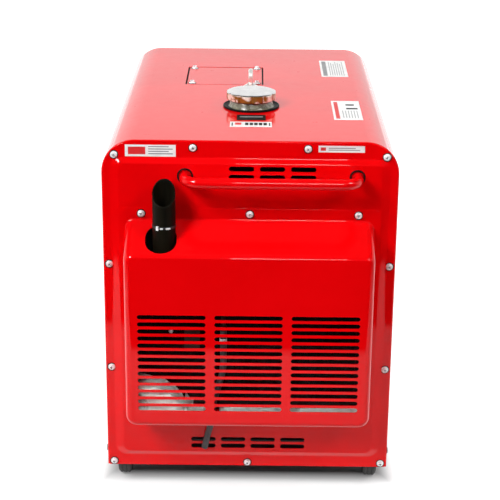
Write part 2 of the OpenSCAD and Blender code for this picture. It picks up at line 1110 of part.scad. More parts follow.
module cylinder_head() {
    grooves = 4;
    half = head_size / 2;
    color("#9aa0a6")
        difference() {
            translate([crank_x, cyl_y, head_low])
                linear_extrude(head_high - head_low)
                    rounded(head_size, head_size, 14);
            for (i = [0:grooves - 1], s = [-1, 1])
                translate([crank_x + s * (half - 10), cyl_y, head_low + 8 + i * 12])
                    translate([-11, -half - cut, 0])
                        cube([22, head_size + 2 * cut, 6]);
        }
}

module rocker_cover() {
    color("#26272a")
        translate([crank_x, cyl_y, head_high])
            union() {
                linear_extrude(8)
                    rounded(120, 104, 16);
                translate([0, 0, 8])
                    linear_extrude(rocker_high - head_high - 8)
                        rounded(104, 88, 16);
            }
}

module fan_housing() {
    y0 = 206;
    y1 = 286;
    color("#26272a")
        difference() {
            bar_y(crank_x, crank_z, fan_shell_r, y0, y1);
            bar_y(crank_x, crank_z, fan_shell_r - 3, y0 - cut, y1 - 3);
            bar_y(crank_x, crank_z, 45, y0, y1 + cut);
            // outlet towards the cylinder
            block([crank_x - 60, y0 - cut, crank_z + 100], [crank_x + 60, y1 - 20, crank_z + 200]);
        }
    color("#26272a")
        translate([crank_x, 0, crank_z - fan_shell_r])
            block([-30, case_y[1], 0], [30, y0 + 3, 3]);
}

module flywheel() {
    blades = 16;
    color("#5c6066")
        difference() {
            union() {
                bar_y(crank_x, crank_z, fly_r, fly_y[0], fly_y[1] - 10);
                bar_y(crank_x, crank_z, 38, fly_y[0], fly_y[1]);
                for (i = [0:blades - 1])
                    translate([crank_x, fly_y[1] - 10 - cut, crank_z])
                        rotate([0, i * 360 / blades, 0])
                            translate([70, 0, -2])
                                cube([42, 20, 4]);
            }
            bar_y(crank_x, crank_z, crank_r, fly_y[0] - cut, fly_y[1] + cut);
        }
}

module crankshaft() {
    color("#b4b8bc")
        union() {
            bar_y(crank_x, crank_z, crank_r, -195, fly_y[1]);
            bar_y(crank_x, crank_z, 12, -222, -194);
            bar_y(crank_x, crank_z, 12, fly_y[1] - cut, fly_y[1] + 12);
        }
}

module starter_motor() {
    x = 118;
    z = 345;
    color("#2f3135")
        union() {
            bar_y(x, z, 36, 70, 190);
            bar_y(x, z, 30, 60, 71);
            bar_y(x + 14, z + 48, 18, 90, 180);
            block([case_x[1], 150, z - 12], [x, 186, z + 12]);
        }
}

module air_filter() {
    color("#1c1c1e")
        union() {
            translate([155, cyl_y, 430])
                cylinder(r = 62, h = 96);
            translate([155, cyl_y, 526])
                cylinder(r = 66, h = 14);
            translate([155, cyl_y, 540])
                cylinder(r1 = 8, r2 = 6, h = 12);
            bar_x(cyl_y, 500, 20, crank_x + head_size / 2, 155);
        }
}

module injection_pump() {
    x = case_x[0];
    color("#8d9196")
        union() {
            bar_x(cyl_y, 330, 22, x - 22, x);
            translate([x - 24, cyl_y, 318])
                cylinder(r = 17, h = 60);
            translate([x - 24, cyl_y, 378])
                cylinder(r = 8, h = 16);
        }
}

module dipstick() {
    color("#c8a018")
        translate([-105, 50, 0])
            union() {
                translate([0, 0, case_top - 110])
                    cylinder(r = 3, h = 130);
                translate([0, 0, case_top + 10])
                    cylinder(r = 8, h = 14);
            }
}

// ---------- exhaust ----------

module exhaust_elbow() {
    r = 17;
    z = 490;
    y0 = muffler_y + muffler_d / 2;
    y1 = cyl_y - head_size / 2;
    x = crank_x - 20;
    color("#4a4340")
        difference() {
            union() {
                bar_y(x, z, r, y0, y1);
                bar_y(x, z, 26, y1 - 6, y1);
                bar_y(x, z, 24, y0, y0 + 5);
            }
            bar_y(x, z, r - 3, y0 - cut, y1 + cut);
        }
}

module muffler() {
    color("#4a4340")
        union() {
            sideways(muffler_x0, muffler_x1 - muffler_x0)
                translate([muffler_y, muffler_z])
                    rounded(muffler_d, muffler_h, 52);
            for (x = [muffler_x0 + 28, muffler_x1 - 32])
                sideways(x, 4)
                    translate([muffler_y, muffler_z])
                        rounded(muffler_d + 4, muffler_h + 4, 54);
            // flange for the engine's exhaust
            bar_y(crank_x - 20, 490, 24, muffler_y, muffler_y + muffler_d / 2);
            // front flange for the tail pipe
            bar_y(pipe_x, pipe_run_z, 26, muffler_y - muffler_d / 2, muffler_y);
            // condensate drain: out, round a bend and down
            bar_y(drain_x, drain_z, drain_pipe_d / 2, drain_y + drain_bend, muffler_y);
            translate([drain_x, drain_y + drain_bend, drain_z - drain_bend])
                rotate([0, 90, 0])
                    rotate_extrude(angle = 90)
                        translate([-drain_bend, 0])
                            circle(d = drain_pipe_d);
            translate([drain_x, drain_y, hose_top])
                cylinder(d = drain_pipe_d, h = drain_z - drain_bend - hose_top);
            translate([drain_x, drain_y, hose_top])
                cylinder(r = hose_d / 2 + 1, h = 8);
        }
}

module foil_liner() {
    face = y_front - hood_d + sheet_t;
    low = ground_gap + hood_low + sheet_t;
    w = hood_half_w - sheet_t;
    color("#cfd3d6")
        intersection() {
            union() {
                block([-w, face, low], [hose_gap[0], foil_back, foil_high]);
                block([hose_gap[1], face, low], [w, foil_back, foil_high]);
                // pad curled up against the left wall
                bar_y(-200, low, 98, face, foil_back);
            }
            upright(foil_back + cut, hood_d)
                translate([0, hood_low + sheet_t + 200])
                    rounded(2 * w, 400, hood_corner - sheet_t);
        }
}

module pipe_path(r) {
    z_bend = pipe_run_z + pipe_bend;
    union() {
        translate([pipe_x, pipe_y, z_bend])
            cylinder(r = r, h = pipe_mouth_high - z_bend + 20);
        translate([pipe_x, pipe_y + pipe_bend, z_bend])
            rotate([0, 90, 0])
                rotate(90)
                    rotate_extrude(angle = 90)
                        translate([-pipe_bend, 0])
                            circle(r = r);
        bar_y(pipe_x, pipe_run_z, r, pipe_y + pipe_bend, muffler_y - muffler_d / 2);
    }
}

module tail_pipe() {
    r = pipe_d / 2;
    tilt = atan((pipe_mouth_high - pipe_mouth_low) / pipe_d);
    mouth = (pipe_mouth_high + pipe_mouth_low) / 2;
    color("#141416")
        difference() {
            pipe_path(r);
            pipe_path(r - pipe_wall);
            // slanted mouth
            translate([pipe_x, pipe_y, mouth])
                rotate([tilt, 0, 0])
                    translate([-50, -60, 0])
                        cube([100, 120, 120]);
        }
}

// route of the drain hose's centre, from its clamp to its free end,
// [x, y from the end panel's outer face, height above the bottom edge]
hose_route = [
    [-46, -30, 292], [-46, -30, 276], [-46, -30, 260], [-46, -30, 244], [-46, -30, 228],
    [-47, -30, 212], [-50, -29, 196], [-54, -28, 180], [-59, -27, 164], [-63, -25, 148],
    [-65, -23, 132], [-66, -21, 118], [-68, -19, 103], [-71, -17, 88], [-75, -16, 73],
    [-78, -15, 58], [-81, -14, 45]
];

function unit(v) = v / norm(v);

// direction of the route at one of its points
function heading(path, i) = unit(path[min(i + 1, len(path) - 1)] - path[max(i - 1, 0)]);

// one ring of points round the route
function ring(path, i, r, sides) =
    let(d = heading(path, i), across = unit(cross([0, 1, 0], d)), over = cross(d, across))
    [for (k = [0:sides - 1])
        path[i] + r * (cos(k * 360 / sides) * across + sin(k * 360 / sides) * over)];

// tube swept along a route
module swept_tube(path, r, sides) {
    rings = len(path);
    points = [for (i = [0:rings - 1]) each ring(path, i, r, sides)];
    walls = [for (i = [0:rings - 2], k = [0:sides - 1])
        [i * sides + k, i * sides + (k + 1) % sides, (i + 1) * sides + (k + 1) % sides, (i + 1) * sides + k]];
    first = [for (k = [sides - 1:-1:0]) k];
    last = [for (k = [0:sides - 1]) (rings - 1) * sides + k];
    polyhedron(points, concat(walls, [first, last]));
}

module drain_hose() {
    color("#7d8084")
        translate([0, y_front, ground_gap])
            swept_tube(hose_route, hose_d / 2, hose_sides);
}

// ---------- alternator ----------

module stator() {
    color("#5f6368")
        difference() {
            union() {
                bar_y(crank_x, crank_z, stator_r - 6, stator_y[0], stator_y[1]);
                bar_y(crank_x, crank_z, stator_r, stator_y[0], stator_y[0] + 12);
                bar_y(crank_x, crank_z, stator_r, stator_y[1] - 12, stator_y[1]);
            }
            bar_y(crank_x, crank_z, bore_r, stator_y[0] - cut, stator_y[1] + cut);
        }
}

module rotor() {
    color("#9a5a30")
        difference() {
            bar_y(crank_x, crank_z, bore_r - air_gap, stator_y[0] + 8, stator_y[1] - 8);
            bar_y(crank_x, crank_z, crank_r, stator_y[0], stator_y[1]);
            for (a = [0, 90, 180, 270])
                translate([crank_x, stator_y[0], crank_z])
                    rotate([0, a + 45, 0])
                        translate([58, 0, -9])
                            cube([40, stator_y[1] - stator_y[0], 18]);
        }
}

module end_bell() {
    color("#8d9196")
        difference() {
            union() {
                bar_y(crank_x, crank_z, stator_r, bell_y[0] + 4, bell_y[1]);
                bar_y(crank_x, crank_z, 34, bell_y[0], bell_y[1]);
                block([crank_x - 75, bell_y[0] + 4, engine_low], [crank_x + 75, bell_y[1], engine_low + 60]);
            }
            bar_y(crank_x, crank_z, bore_r + 12, bell_y[0] + 12, bell_y[1] + cut);
            // air windows in the face
            for (i = [0:5])
                translate([crank_x, bell_y[0], crank_z])
                    rotate([0, i * 60, 0])
                        translate([66, 20, 0])
                            rotate([90, 0, 0])
                                cylinder(r = 20, h = 30);
            bar_y(crank_x, crank_z, 12 + fit, bell_y[0] - cut, bell_y[1]);
        }
}

// ---------- electrical ----------

module battery() {
    foot = base_floor + base_t;
    color("#222326")
        union() {
            block([112, 8, foot], [232, 198, foot + 150]);
            block([110, 6, foot + 150], [234, 200, foot + 166]);
            for (y = [34, 172])
                translate([135, y, foot + 166])
                    cylinder(r = 8, h = 14);
        }
}

module control_plate() {
    mid = (plate_low + plate_high) / 2 - ground_gap;
    color("#1c1c1e")
        difference() {
            upright(y_plate, plate_t)
                translate([0, mid])
                    rounded(2 * plate_half, plate_high - plate_low, 10);
            upright(y_plate + cut, plate_t + 2 * cut, 0) {
                translate(meter_at)
                    circle(r = meter_w / 2 - 3);
                translate(key_at)
                    circle(r = key_r + fit);
                translate(breaker_at)
                    square([breaker_w, breaker_h], center = true);
                translate(socket_at)
                    circle(r = socket_r - 4);
                for (p = stud_at)
                    translate(p)
                        circle(r = stud_r + 1);
                translate(button_at)
                    circle(r = button_r + fit);
            }
        }
}

module voltmeter() {
    color("#e8e8e4")
        union() {
            upright(y_plate + 8, 8, 0)
                translate(meter_at)
                    rounded(meter_w + 6, meter_w + 6, 5);
            upright(y_plate, 36, 0)
                translate(meter_at)
                    circle(r = meter_w / 2 - 4);
        }
}

module start_key() {
    color("#b4b8bc")
        union() {
            upright(y_plate + 4, 30, 0)
                translate(key_at)
                    circle(r = key_r);
            upright(y_plate + 30, 27, 0)
                translate(key_at)
                    square([3, 14], center = true);
            upright(y_plate + 38, 12, 0)
                translate(key_at)
                    rounded(4, 24, 1.9);
        }
}

module breaker() {
    color("#2f3135")
        difference() {
            union() {
                upright(y_plate + 6, 6, 0)
                    translate(breaker_at)
                        rounded(breaker_w + 10, breaker_h + 10, 4);
                upright(y_plate, 50, 0)
                    translate(breaker_at)
                        square([breaker_w - 1, breaker_h - 1], center = true);
            }
            upright(y_plate + 6 + cut, 22, 0)
                translate(breaker_at)
                    square([18, 36], center = true);
            // cross hole for the toggle's pin
            bar_x(y_plate - 4, breaker_at[1], 2 + fit, breaker_at[0] - 13, breaker_at[0] + 13);
        }
}

module breaker_toggle() {
    color("#1c1c1e")
        translate([breaker_at[0], y_plate - 4, breaker_at[1]])
            union() {
                bar_x(0, 0, 2, -12.5, 12.5);
                bar_x(0, 0, 7, -8, 8);
                translate([-8, 4, -3])
                    cube([16, 18, 6]);
            }
}

module socket() {
    lug_z = lid_hinge_z;
    color("#2f5fa8")
        difference() {
            union() {
                upright(y_plate + 8, 8, 0)
                    translate(socket_at)
                        circle(r = socket_r);
                upright(y_plate, 40, 0)
                    translate(socket_at)
                        circle(r = socket_r - 5);
                for (s = [-1, 1])
                    block(
                        [socket_at[0] + s * 16 - 4, y_plate, socket_at[1] + socket_r - 6],
                        [socket_at[0] + s * 16 + 4, y_plate + 14, lug_z + 4]
                    );
            }
            // recess for the plug, with its three pin holes
            upright(y_plate + 8 + cut, 24, 0)
                translate(socket_at)
                    circle(r = 28);
            upright(y_plate, 30, 0)
                for (a = [90, 210, 330])
                    translate([socket_at[0] + 10 * cos(a), socket_at[1] + 10 * sin(a)])
                        circle(r = 3.2);
            bar_x(y_plate + 10, lug_z, 2 + fit, socket_at[0] - 21, socket_at[0] + 21);
        }
}

module socket_lid() {
    y0 = y_plate + 8.4;
    color("#2b2b2d")
        union() {
            bar_x(y_plate + 10, lid_hinge_z, 2, socket_at[0] - 20, socket_at[0] + 20);
            bar_x(y_plate + 10, lid_hinge_z, 3.5, socket_at[0] - 11.5, socket_at[0] + 11.5);
            upright(y0 + 4, 4, 0)
                union() {
                    translate(socket_at)
                        circle(r = socket_r - 6);
                    translate([socket_at[0] - 11.5, socket_at[1] + 20])
                        square([23, lid_hinge_z - socket_at[1] - 20]);
                }
            upright(y0 + 8, 4, 0)
                translate([socket_at[0], socket_at[1] - 24])
                    rounded(24, 8, 3);
        }
}

module terminals() {
    color("#c9a24a")
        for (p = stud_at)
            translate([p[0], y_plate, p[1]])
                union() {
                    bar_y(0, 0, stud_r, -24, 24);
                    bar_y(0, 0, 8, 0, 3);
                    rotate([-90, 0, 0])
                        translate([0, 0, 3])
                            cylinder(r = 6.5, h = 6, $fn = 6);
                }
}

module dc_button() {
    color("#b01015")
        translate([button_at[0], y_plate, button_at[1]])
            union() {
                bar_y(0, 0, button_r, -14, 7);
                bar_y(0, 0, button_r + 2, -16, -12);
            }
}

// ---------- what is drawn ----------

base_frame();
top_cover();
left_side_panel();
right_front_side_panel();
right_rear_side_panel();
exhaust_end_panel();
exhaust_hood();
control_end_panel();
panel_screws();
side_screws();
front_handle();
rear_handle();
access_plate();
lifting_eye();
lifting_bracket();
service_door();
door_foam();
door_hinge();
door_latch();
filler_grommet();
fuel_cap();
fuel_cap_seal();
fuel_tank();
castor_brackets();
left_front_wheel();
right_front_wheel();
left_rear_fork();
right_rear_fork();
left_rear_wheel();
right_rear_wheel();
crankcase();
cylinder_barrel();  // cylinder
cylinder_head();
rocker_cover();
fan_housing();
flywheel();
crankshaft();
starter_motor();
air_filter();
injection_pump();
dipstick();
exhaust_elbow();
muffler();
foil_liner();
tail_pipe();
drain_hose();
stator();
rotor();
end_bell();
battery();
control_plate();
voltmeter();
start_key();
breaker();
breaker_toggle();
socket();
socket_lid();
terminals();
dc_button();
rubber_mounts();
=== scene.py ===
import json
import math

import bmesh
import bpy
from mathutils import Matrix, Vector, noise


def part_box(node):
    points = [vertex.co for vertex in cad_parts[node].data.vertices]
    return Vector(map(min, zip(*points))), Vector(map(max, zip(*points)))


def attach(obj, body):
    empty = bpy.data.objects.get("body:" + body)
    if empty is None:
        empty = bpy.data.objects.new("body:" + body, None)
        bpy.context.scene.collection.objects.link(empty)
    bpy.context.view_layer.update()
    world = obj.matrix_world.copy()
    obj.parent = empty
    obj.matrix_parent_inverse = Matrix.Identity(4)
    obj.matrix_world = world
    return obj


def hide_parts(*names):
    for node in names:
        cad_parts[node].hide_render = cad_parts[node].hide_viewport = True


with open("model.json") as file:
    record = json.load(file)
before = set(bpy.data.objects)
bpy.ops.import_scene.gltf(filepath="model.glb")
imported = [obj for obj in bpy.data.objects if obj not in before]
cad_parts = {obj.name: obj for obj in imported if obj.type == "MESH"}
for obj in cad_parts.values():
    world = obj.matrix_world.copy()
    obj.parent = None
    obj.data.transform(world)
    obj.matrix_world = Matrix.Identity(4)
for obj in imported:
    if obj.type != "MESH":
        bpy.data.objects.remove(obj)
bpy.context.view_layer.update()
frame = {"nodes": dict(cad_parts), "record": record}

MM = 0.001
NODES = frame["nodes"]
ENCLOSURE = "enclosure"

# places worked out in the CAD source, in metres
Y_FRONT = -0.3825
RAISE = 0.006
SHEET = 0.002
Z_LOW = 0.050
Z_TOP = 0.690
HALF_W = 0.265
CORNER_R = 0.060
CAP_AT = Vector((0, -0.1305, Z_TOP))
EYE_AT = Vector((-0.002, 0.0285, Z_TOP))


# ---------- camera, seen from the exhaust end ----------

def make_camera():
    pitch, yaw, roll = (math.radians(a) for a in (19.605, -0.101, 0.607))
    forward = Vector((math.sin(yaw) * math.cos(pitch), math.cos(yaw) * math.cos(pitch), -math.sin(pitch)))
    right = Vector((math.cos(yaw), -math.sin(yaw), 0))
    up = right.cross(forward)
    right_rolled = right * math.cos(roll) + up * math.sin(roll)
    up_rolled = up * math.cos(roll) - right * math.sin(roll)
    data = bpy.data.cameras.new("camera")
    data.lens, data.sensor_width, data.clip_end = 106.45, 36, 100
    cam = bpy.data.objects.new("camera", data)
    m = Matrix((right_rolled, up_rolled, -forward)).transposed().to_4x4()
    m.translation = Vector((0.00543, -2.9010, 1.3834))
    cam.matrix_world = m
    bpy.context.scene.collection.objects.link(cam)
    bpy.context.scene.camera = cam


make_camera()
bpy.context.scene.view_settings.view_transform = "Standard"


# ---------- materials ----------

class Finish:
    """A Principled material whose colour, roughness and bump come from noise in object space."""

    def __init__(self, name, rough, metal=0.0, **sockets):
        self.mat = bpy.data.materials.new(name)
        self.mat.use_nodes = True
        self.tree = self.mat.node_tree
        self.bsdf = self.tree.nodes["Principled BSDF"]
        self.bsdf.inputs["Roughness"].default_value = rough
        self.bsdf.inputs["Metallic"].default_value = metal
        for key, value in sockets.items():
            self.bsdf.inputs[key.replace("_", " ")].default_value = value
        self.coords = self.tree.nodes.new("ShaderNodeTexCoord").outputs["Object"]

    def node(self, kind, inputs=None, **props):
        n = self.tree.nodes.new(kind)
        for key, value in props.items():
            setattr(n, key, value)
        for key, value in (inputs or {}).items():
            n.inputs[key].default_value = value
        return n

    def link(self, a, b):
        self.tree.links.new(a, b)

    def place(self, stretch):
        m = self.node("ShaderNodeMapping", {"Scale": stretch})
        self.link(self.coords, m.inputs["Vector"])
        return m.outputs["Vector"]

    def noise(self, scale, detail=4.0, rough=0.55, stretch=None, warp=0.0):
        n = self.node("ShaderNodeTexNoise",
                      {"Scale": scale, "Detail": detail, "Roughness": rough, "Distortion": warp})
        self.link(self.place(stretch) if stretch else self.coords, n.inputs["Vector"])
        return n.outputs["Fac"]

    def cells(self, scale, feature="F1"):
        n = self.node("ShaderNodeTexVoronoi", {"Scale": scale}, feature=feature)
        self.link(self.coords, n.inputs["Vector"])
        return n.outputs["Distance"]

    def ramp(self, value, *stops):
        """A colour for each value, from stops of (position, red, green, blue)."""
        r = self.node("ShaderNodeValToRGB")
        for k, (at, *colour) in enumerate(stops):
            e = r.color_ramp.elements[k] if k < 2 else r.color_ramp.elements.new(at)
            e.position, e.color = at, (*colour, 1)
        self.link(value, r.inputs["Fac"])
        return r.outputs["Color"]

    def colour(self, value, low, high, at=(0.3, 0.7)):
        self.link(self.ramp(value, (at[0], *low), (at[1], *high)), self.bsdf.inputs["Base Color"])

    def axis(self, name):
        split = self.node("ShaderNodeSeparateXYZ")
        self.link(self.coords, split.inputs[0])
        return split.outputs[name]

    def math(self, operation, *values):
        m = self.node("ShaderNodeMath", operation=operation)
        for socket, value in zip(m.inputs, values):
            if isinstance(value, float):
                socket.default_value = value
            else:
                self.link(value, socket)
        return m.outputs[0]

    def spread(self, value, start, end, low=0.0, high=1.0, kind="LINEAR"):
        """Maps start to end onto low to high."""
        ends = {"From Min": start, "From Max": end, "To Min": low, "To Max": high}
        m = self.node("ShaderNodeMapRange", ends, interpolation_type=kind)
        self.link(value, m.inputs["Value"])
        return m.outputs["Result"]

    def roughness(self, fac, low, high):
        self.link(self.spread(fac, 0.0, 1.0, low, high), self.bsdf.inputs["Roughness"])

    def glow(self, strength):
        self.bsdf.inputs["Emission Color"].default_value = (1, 1, 1, 1)
        self.link(strength, self.bsdf.inputs["Emission Strength"])
        return self.mat

    def bump(self, height, strength, distance, after=None):
        b = self.node("ShaderNodeBump", {"Strength": strength, "Distance": distance})
        self.link(height, b.inputs["Height"])
        if after:
            self.link(after, b.inputs["Normal"])
        self.link(b.outputs["Normal"], self.bsdf.inputs["Normal"])
        return b.outputs["Normal"]


def pattern(f, spec):
    """Noise from its arguments, or cells where only a scale is given."""
    return f.noise(*spec) if len(spec) > 1 else f.cells(*spec)


def finish(name, rough, metal, sockets, colour, shine, relief):
    """A finish from its row: base values, then (noise, ...) of the colour, the roughness and the bump."""
    f = Finish(name, rough, metal, **sockets)
    f.colour(pattern(f, colour[0]), *colour[1:])
    if shine:
        f.roughness(pattern(f, shine[0]), *shine[1:])
    f.bump(pattern(f, relief[0]), *relief[1:])
    return f.mat


def foil():
    f = Finish("foil", 0.4, 0.12)
    # painted shade: darker, olive foil towards the left wall, which shades that end; plain crinkled foil elsewhere,
    # tinted green to offset the red light bounced from the hood
    out_of_painted_shade = f.spread(f.axis("X"), -0.200, -0.135)
    shade = f.math("MULTIPLY_ADD", f.noise(45, 6, 0.65, warp=1.0), 0.9, out_of_painted_shade)
    f.colour(shade, (0.07, 0.105, 0.08), (0.82, 1.0, 0.95), (0.40, 0.74))
    f.roughness(f.noise(160, 5), 0.28, 0.5)
    crease = f.bump(f.cells(95, "DISTANCE_TO_EDGE"), 0.7, 0.0025)
    f.bump(f.noise(240, 5, warp=1.5), 0.6, 0.0015, crease)
    return f.mat


def plastic(name, low, high, rough=(0.22, 0.36), shine=0.5):
    f = Finish(name, rough[0], Specular_IOR_Level=shine)
    f.colour(f.noise(50, 4), low, high)
    f.roughness(f.noise(140, 4), *rough)
    f.bump(f.noise(800, 3), 0.05, 0.0002)
    return f.mat


# each row: roughness, metallic, other sockets, then colour (noise, dark, light, ramp positions),
# roughness (noise, low, high) and bump (noise, strength, distance)
FINISHES = {
    "red_paint": (0.3, 0.0, dict(Specular_IOR_Level=0.02, Coat_Weight=1.0, Coat_Roughness=0.03, Coat_IOR=1.42),
        ((7, 3), (0.79, 0.0003, 0.0014), (0.86, 0.0006, 0.0024)), ((60, 5), 0.24, 0.36),
        ((520, 2, 0.4), 0.05, 0.0004)),
    "zinc": (0.35, 0.15, {}, ((90, 5), (0.94, 0.95, 0.97), (1.0, 1.0, 1.0)), ((400, 4), 0.22, 0.42),
        ((900, 3), 0.12, 0.0002)),
    # zinc that has gone grey, for the hinge and the castor frames
    "dull_zinc": (0.45, 0.6, {}, ((60, 5), (0.13, 0.132, 0.135), (0.24, 0.242, 0.245)), ((180, 4), 0.36, 0.58),
        ((600, 3), 0.14, 0.0002)),
    "black_steel": (0.45, 0.0, dict(Specular_IOR_Level=0.5),
        ((35, 6), (0.010, 0.010, 0.012), (0.026, 0.026, 0.029)), ((120, 4), 0.34, 0.58), ((650, 3), 0.16, 0.0003)),
    "chrome": (0.08, 1.0, {}, ((60, 4), (0.80, 0.80, 0.80), (0.93, 0.93, 0.92)),
        ((300, 5, 0.55, (1, 6, 1)), 0.05, 0.14), ((140, 2), 0.04, 0.0004)),
    # softer plating of the forged eye
    "satin_chrome": (0.3, 0.55, {}, ((120, 4), (0.80, 0.80, 0.76), (0.97, 0.97, 0.94)), ((300, 4), 0.22, 0.38),
        ((500, 3), 0.12, 0.0002)),
    # patchy gold and white plating round the grip of the cap: a painted reflection of the surroundings in the chrome
    "chrome_painted_reflection": (0.22, 0.35, {},
        ((42, 3, 0.55, None, 1.2), (0.27, 0.12, 0.02), (1.0, 0.97, 0.84), (0.44, 0.56)), ((200, 4), 0.12, 0.28),
        ((120, 2), 0.1, 0.0004)),
    "foam": (0.95, 0.0, dict(Specular_IOR_Level=0.15), ((220, 6), (0.004, 0.004, 0.004), (0.018, 0.018, 0.019)),
        None, ((420,), 0.8, 0.0015)),
    "black_plastic": (0.5, 0.0, {}, ((30, 4), (0.012, 0.012, 0.013), (0.022, 0.022, 0.024)), ((90, 4), 0.42, 0.56),
        ((1500,), 0.12, 0.00025)),
    "black_rubber": (0.4, 0.0, dict(Specular_IOR_Level=0.05),
        ((45, 5), (0.004, 0.004, 0.004), (0.012, 0.012, 0.012)), ((120, 5), 0.26, 0.48), ((900, 4), 0.1, 0.0003)),
    "wheel_rubber": (0.6, 0.0, {}, ((60, 6), (0.012, 0.012, 0.012), (0.040, 0.039, 0.037)), ((180, 5), 0.5, 0.8),
        ((700, 5), 0.3, 0.0005)),
    "cast_aluminium": (0.45, 0.9, {}, ((50, 6), (0.36, 0.37, 0.38), (0.58, 0.59, 0.60)), ((200, 5), 0.4, 0.62),
        ((420, 6), 0.45, 0.0008)),
    "cast_iron": (0.6, 0.7, {}, ((45, 6), (0.10, 0.10, 0.105), (0.22, 0.22, 0.225)), ((150, 5), 0.5, 0.75),
        ((380, 6), 0.5, 0.0008)),
    "machined_steel": (0.25, 1.0, {}, ((40, 4), (0.50, 0.51, 0.52), (0.68, 0.68, 0.69)),
        ((60, 4, 0.55, (1, 30, 1)), 0.18, 0.34), ((80, 3, 0.55, (1, 40, 1)), 0.1, 0.0002)),
    "yellow_plastic": (0.3, 0.0, {}, ((60, 4), (0.66, 0.42, 0.02), (0.78, 0.52, 0.03)), ((150, 4), 0.24, 0.4),
        ((700, 3), 0.06, 0.0003)),
    "exhaust_steel": (0.6, 0.7, {}, ((16, 7, 0.55, None, 0.6), (0.022, 0.019, 0.017), (0.085, 0.068, 0.056)),
        ((70, 5), 0.45, 0.75), ((260, 6), 0.4, 0.0006)),
    "black_enamel": (0.45, 0.0, dict(Specular_IOR_Level=0.08),
        ((70, 5, 0.55, (1, 1, 0.12)), (0.0015, 0.0015, 0.001), (0.010, 0.008, 0.004)),
        ((90, 5, 0.55, (1, 1, 0.2)), 0.3, 0.62), ((240, 4, 0.55, (1, 1, 0.15)), 0.25, 0.0005)),
    "hose_rubber": (0.4, 0.0, {}, ((60, 4), (0.035, 0.036, 0.038), (0.075, 0.077, 0.080)), ((130, 4), 0.3, 0.5),
        ((500, 4, 0.55, (1, 1, 0.15)), 0.2, 0.0003)),
    "lamination": (0.5, 0.8, {}, ((25, 5), (0.10, 0.105, 0.11), (0.20, 0.205, 0.21)), ((90, 4), 0.4, 0.6),
        ((30, 1, 0.55, (0.05, 30, 0.05)), 0.6, 0.0006)),
    "copper_winding": (0.35, 0.8, dict(Coat_Weight=0.5), ((50, 4), (0.32, 0.12, 0.04), (0.55, 0.24, 0.09)),
        ((120, 4), 0.28, 0.45), ((40, 1, 0.55, (0.1, 20, 0.1)), 0.5, 0.0006)),
    "brass": (0.25, 1.0, {}, ((90, 4), (0.55, 0.36, 0.12), (0.78, 0.56, 0.22)), ((240, 4), 0.16, 0.34),
        ((60, 2, 0.55, (1, 12, 1)), 0.1, 0.0002)),
    # shinier rubber round the neck; its olive colour, lighter than the other rubber, is a painted sheen
    "boss_rubber_painted_sheen": (0.25, 0.0, dict(Specular_IOR_Level=0.8, Coat_Weight=0.5, Coat_Roughness=0.2),
        ((60, 5), (0.10, 0.092, 0.058), (0.24, 0.225, 0.15)), ((150, 5), 0.2, 0.36), ((700, 4), 0.1, 0.0003)),
    "label_paper": (0.35, 0.0, dict(Coat_Weight=0.4, Coat_Roughness=0.15),
        ((40, 4), (0.80, 0.80, 0.79), (0.92, 0.92, 0.91)), ((160, 4), 0.28, 0.44), ((350, 3), 0.05, 0.0003)),
}
# dark and light colour, roughness range, specular level
PLASTICS = {
    "white_plastic": ((0.74, 0.74, 0.71), (0.84, 0.84, 0.81)),
    "blue_plastic": ((0.02, 0.07, 0.30), (0.035, 0.10, 0.40), (0.34, 0.48)),
    "red_plastic": ((0.58, 0.01, 0.01), (0.70, 0.015, 0.015)),
    "ink_red": ((0.66, 0.02, 0.02), (0.76, 0.03, 0.03), (0.35, 0.5)),
    "ink_grey": ((0.20, 0.20, 0.21), (0.30, 0.30, 0.31), (0.35, 0.5)),
    "ink_dark": ((0.006, 0.006, 0.006), (0.018, 0.018, 0.018), (0.35, 0.5), 0.04),
}
MATERIALS = {name: finish(name, *row) for name, row in FINISHES.items()}
MATERIALS.update({name: plastic(name, *row) for name, row in PLASTICS.items()})
MATERIALS["foil"] = foil()


# ---------- mesh helpers ----------

def smooth_group(name, angle):
    """Geometry nodes that shade a mesh smooth, except along edges sharper than angle."""
    g = bpy.data.node_groups.new(name, "GeometryNodeTree")
    for way in ("INPUT", "OUTPUT"):
        g.interface.new_socket("Geometry", in_out=way, socket_type="NodeSocketGeometry")
    start, end = g.nodes.new("NodeGroupInput"), g.nodes.new("NodeGroupOutput")
    faces = g.nodes.new("GeometryNodeSetShadeSmooth")
    edges = g.nodes.new("GeometryNodeSetShadeSmooth")
    edges.domain = "EDGE"
    edges.inputs["Shade Smooth"].default_value = False
    bend = g.nodes.new("GeometryNodeInputMeshEdgeAngle")
    compare = g.nodes.new("FunctionNodeCompare")
    compare.data_type, compare.operation = "FLOAT", "GREATER_THAN"
    compare.inputs[1].default_value = angle
    g.links.new(bend.outputs["Unsigned Angle"], compare.inputs[0])
    g.links.new(start.outputs[0], faces.inputs["Geometry"])
    g.links.new(faces.outputs[0], edges.inputs["Geometry"])
    g.links.new(compare.outputs[0], edges.inputs["Selection"])
    g.links.new(edges.outputs[0], end.inputs[0])
    return g


SMOOTH = smooth_group("smooth_by_angle", math.radians(34))


def soften(o, width, segments=2, weld=False, limit=40):
    """Rounds the sharp edges and sets the shading of a piece or a CAD node."""
    if weld:
        o.modifiers.new("weld", "WELD").merge_threshold = 0.00001
        for name in ("custom_normal", "sharp_edge", "sharp_face"):
            if name in o.data.attributes:
                o.data.attributes.remove(o.data.attributes[name])
    if width:
        b = o.modifiers.new("bevel", "BEVEL")
        b.width, b.segments, b.limit_method = width, segments, "ANGLE"
        b.angle_limit = math.radians(limit)
        b.miter_outer = "MITER_ARC"
    o.modifiers.new("smooth", "NODES").node_group = SMOOTH
    o.modifiers.new("flat_faces", "WEIGHTED_NORMAL").keep_sharp = True


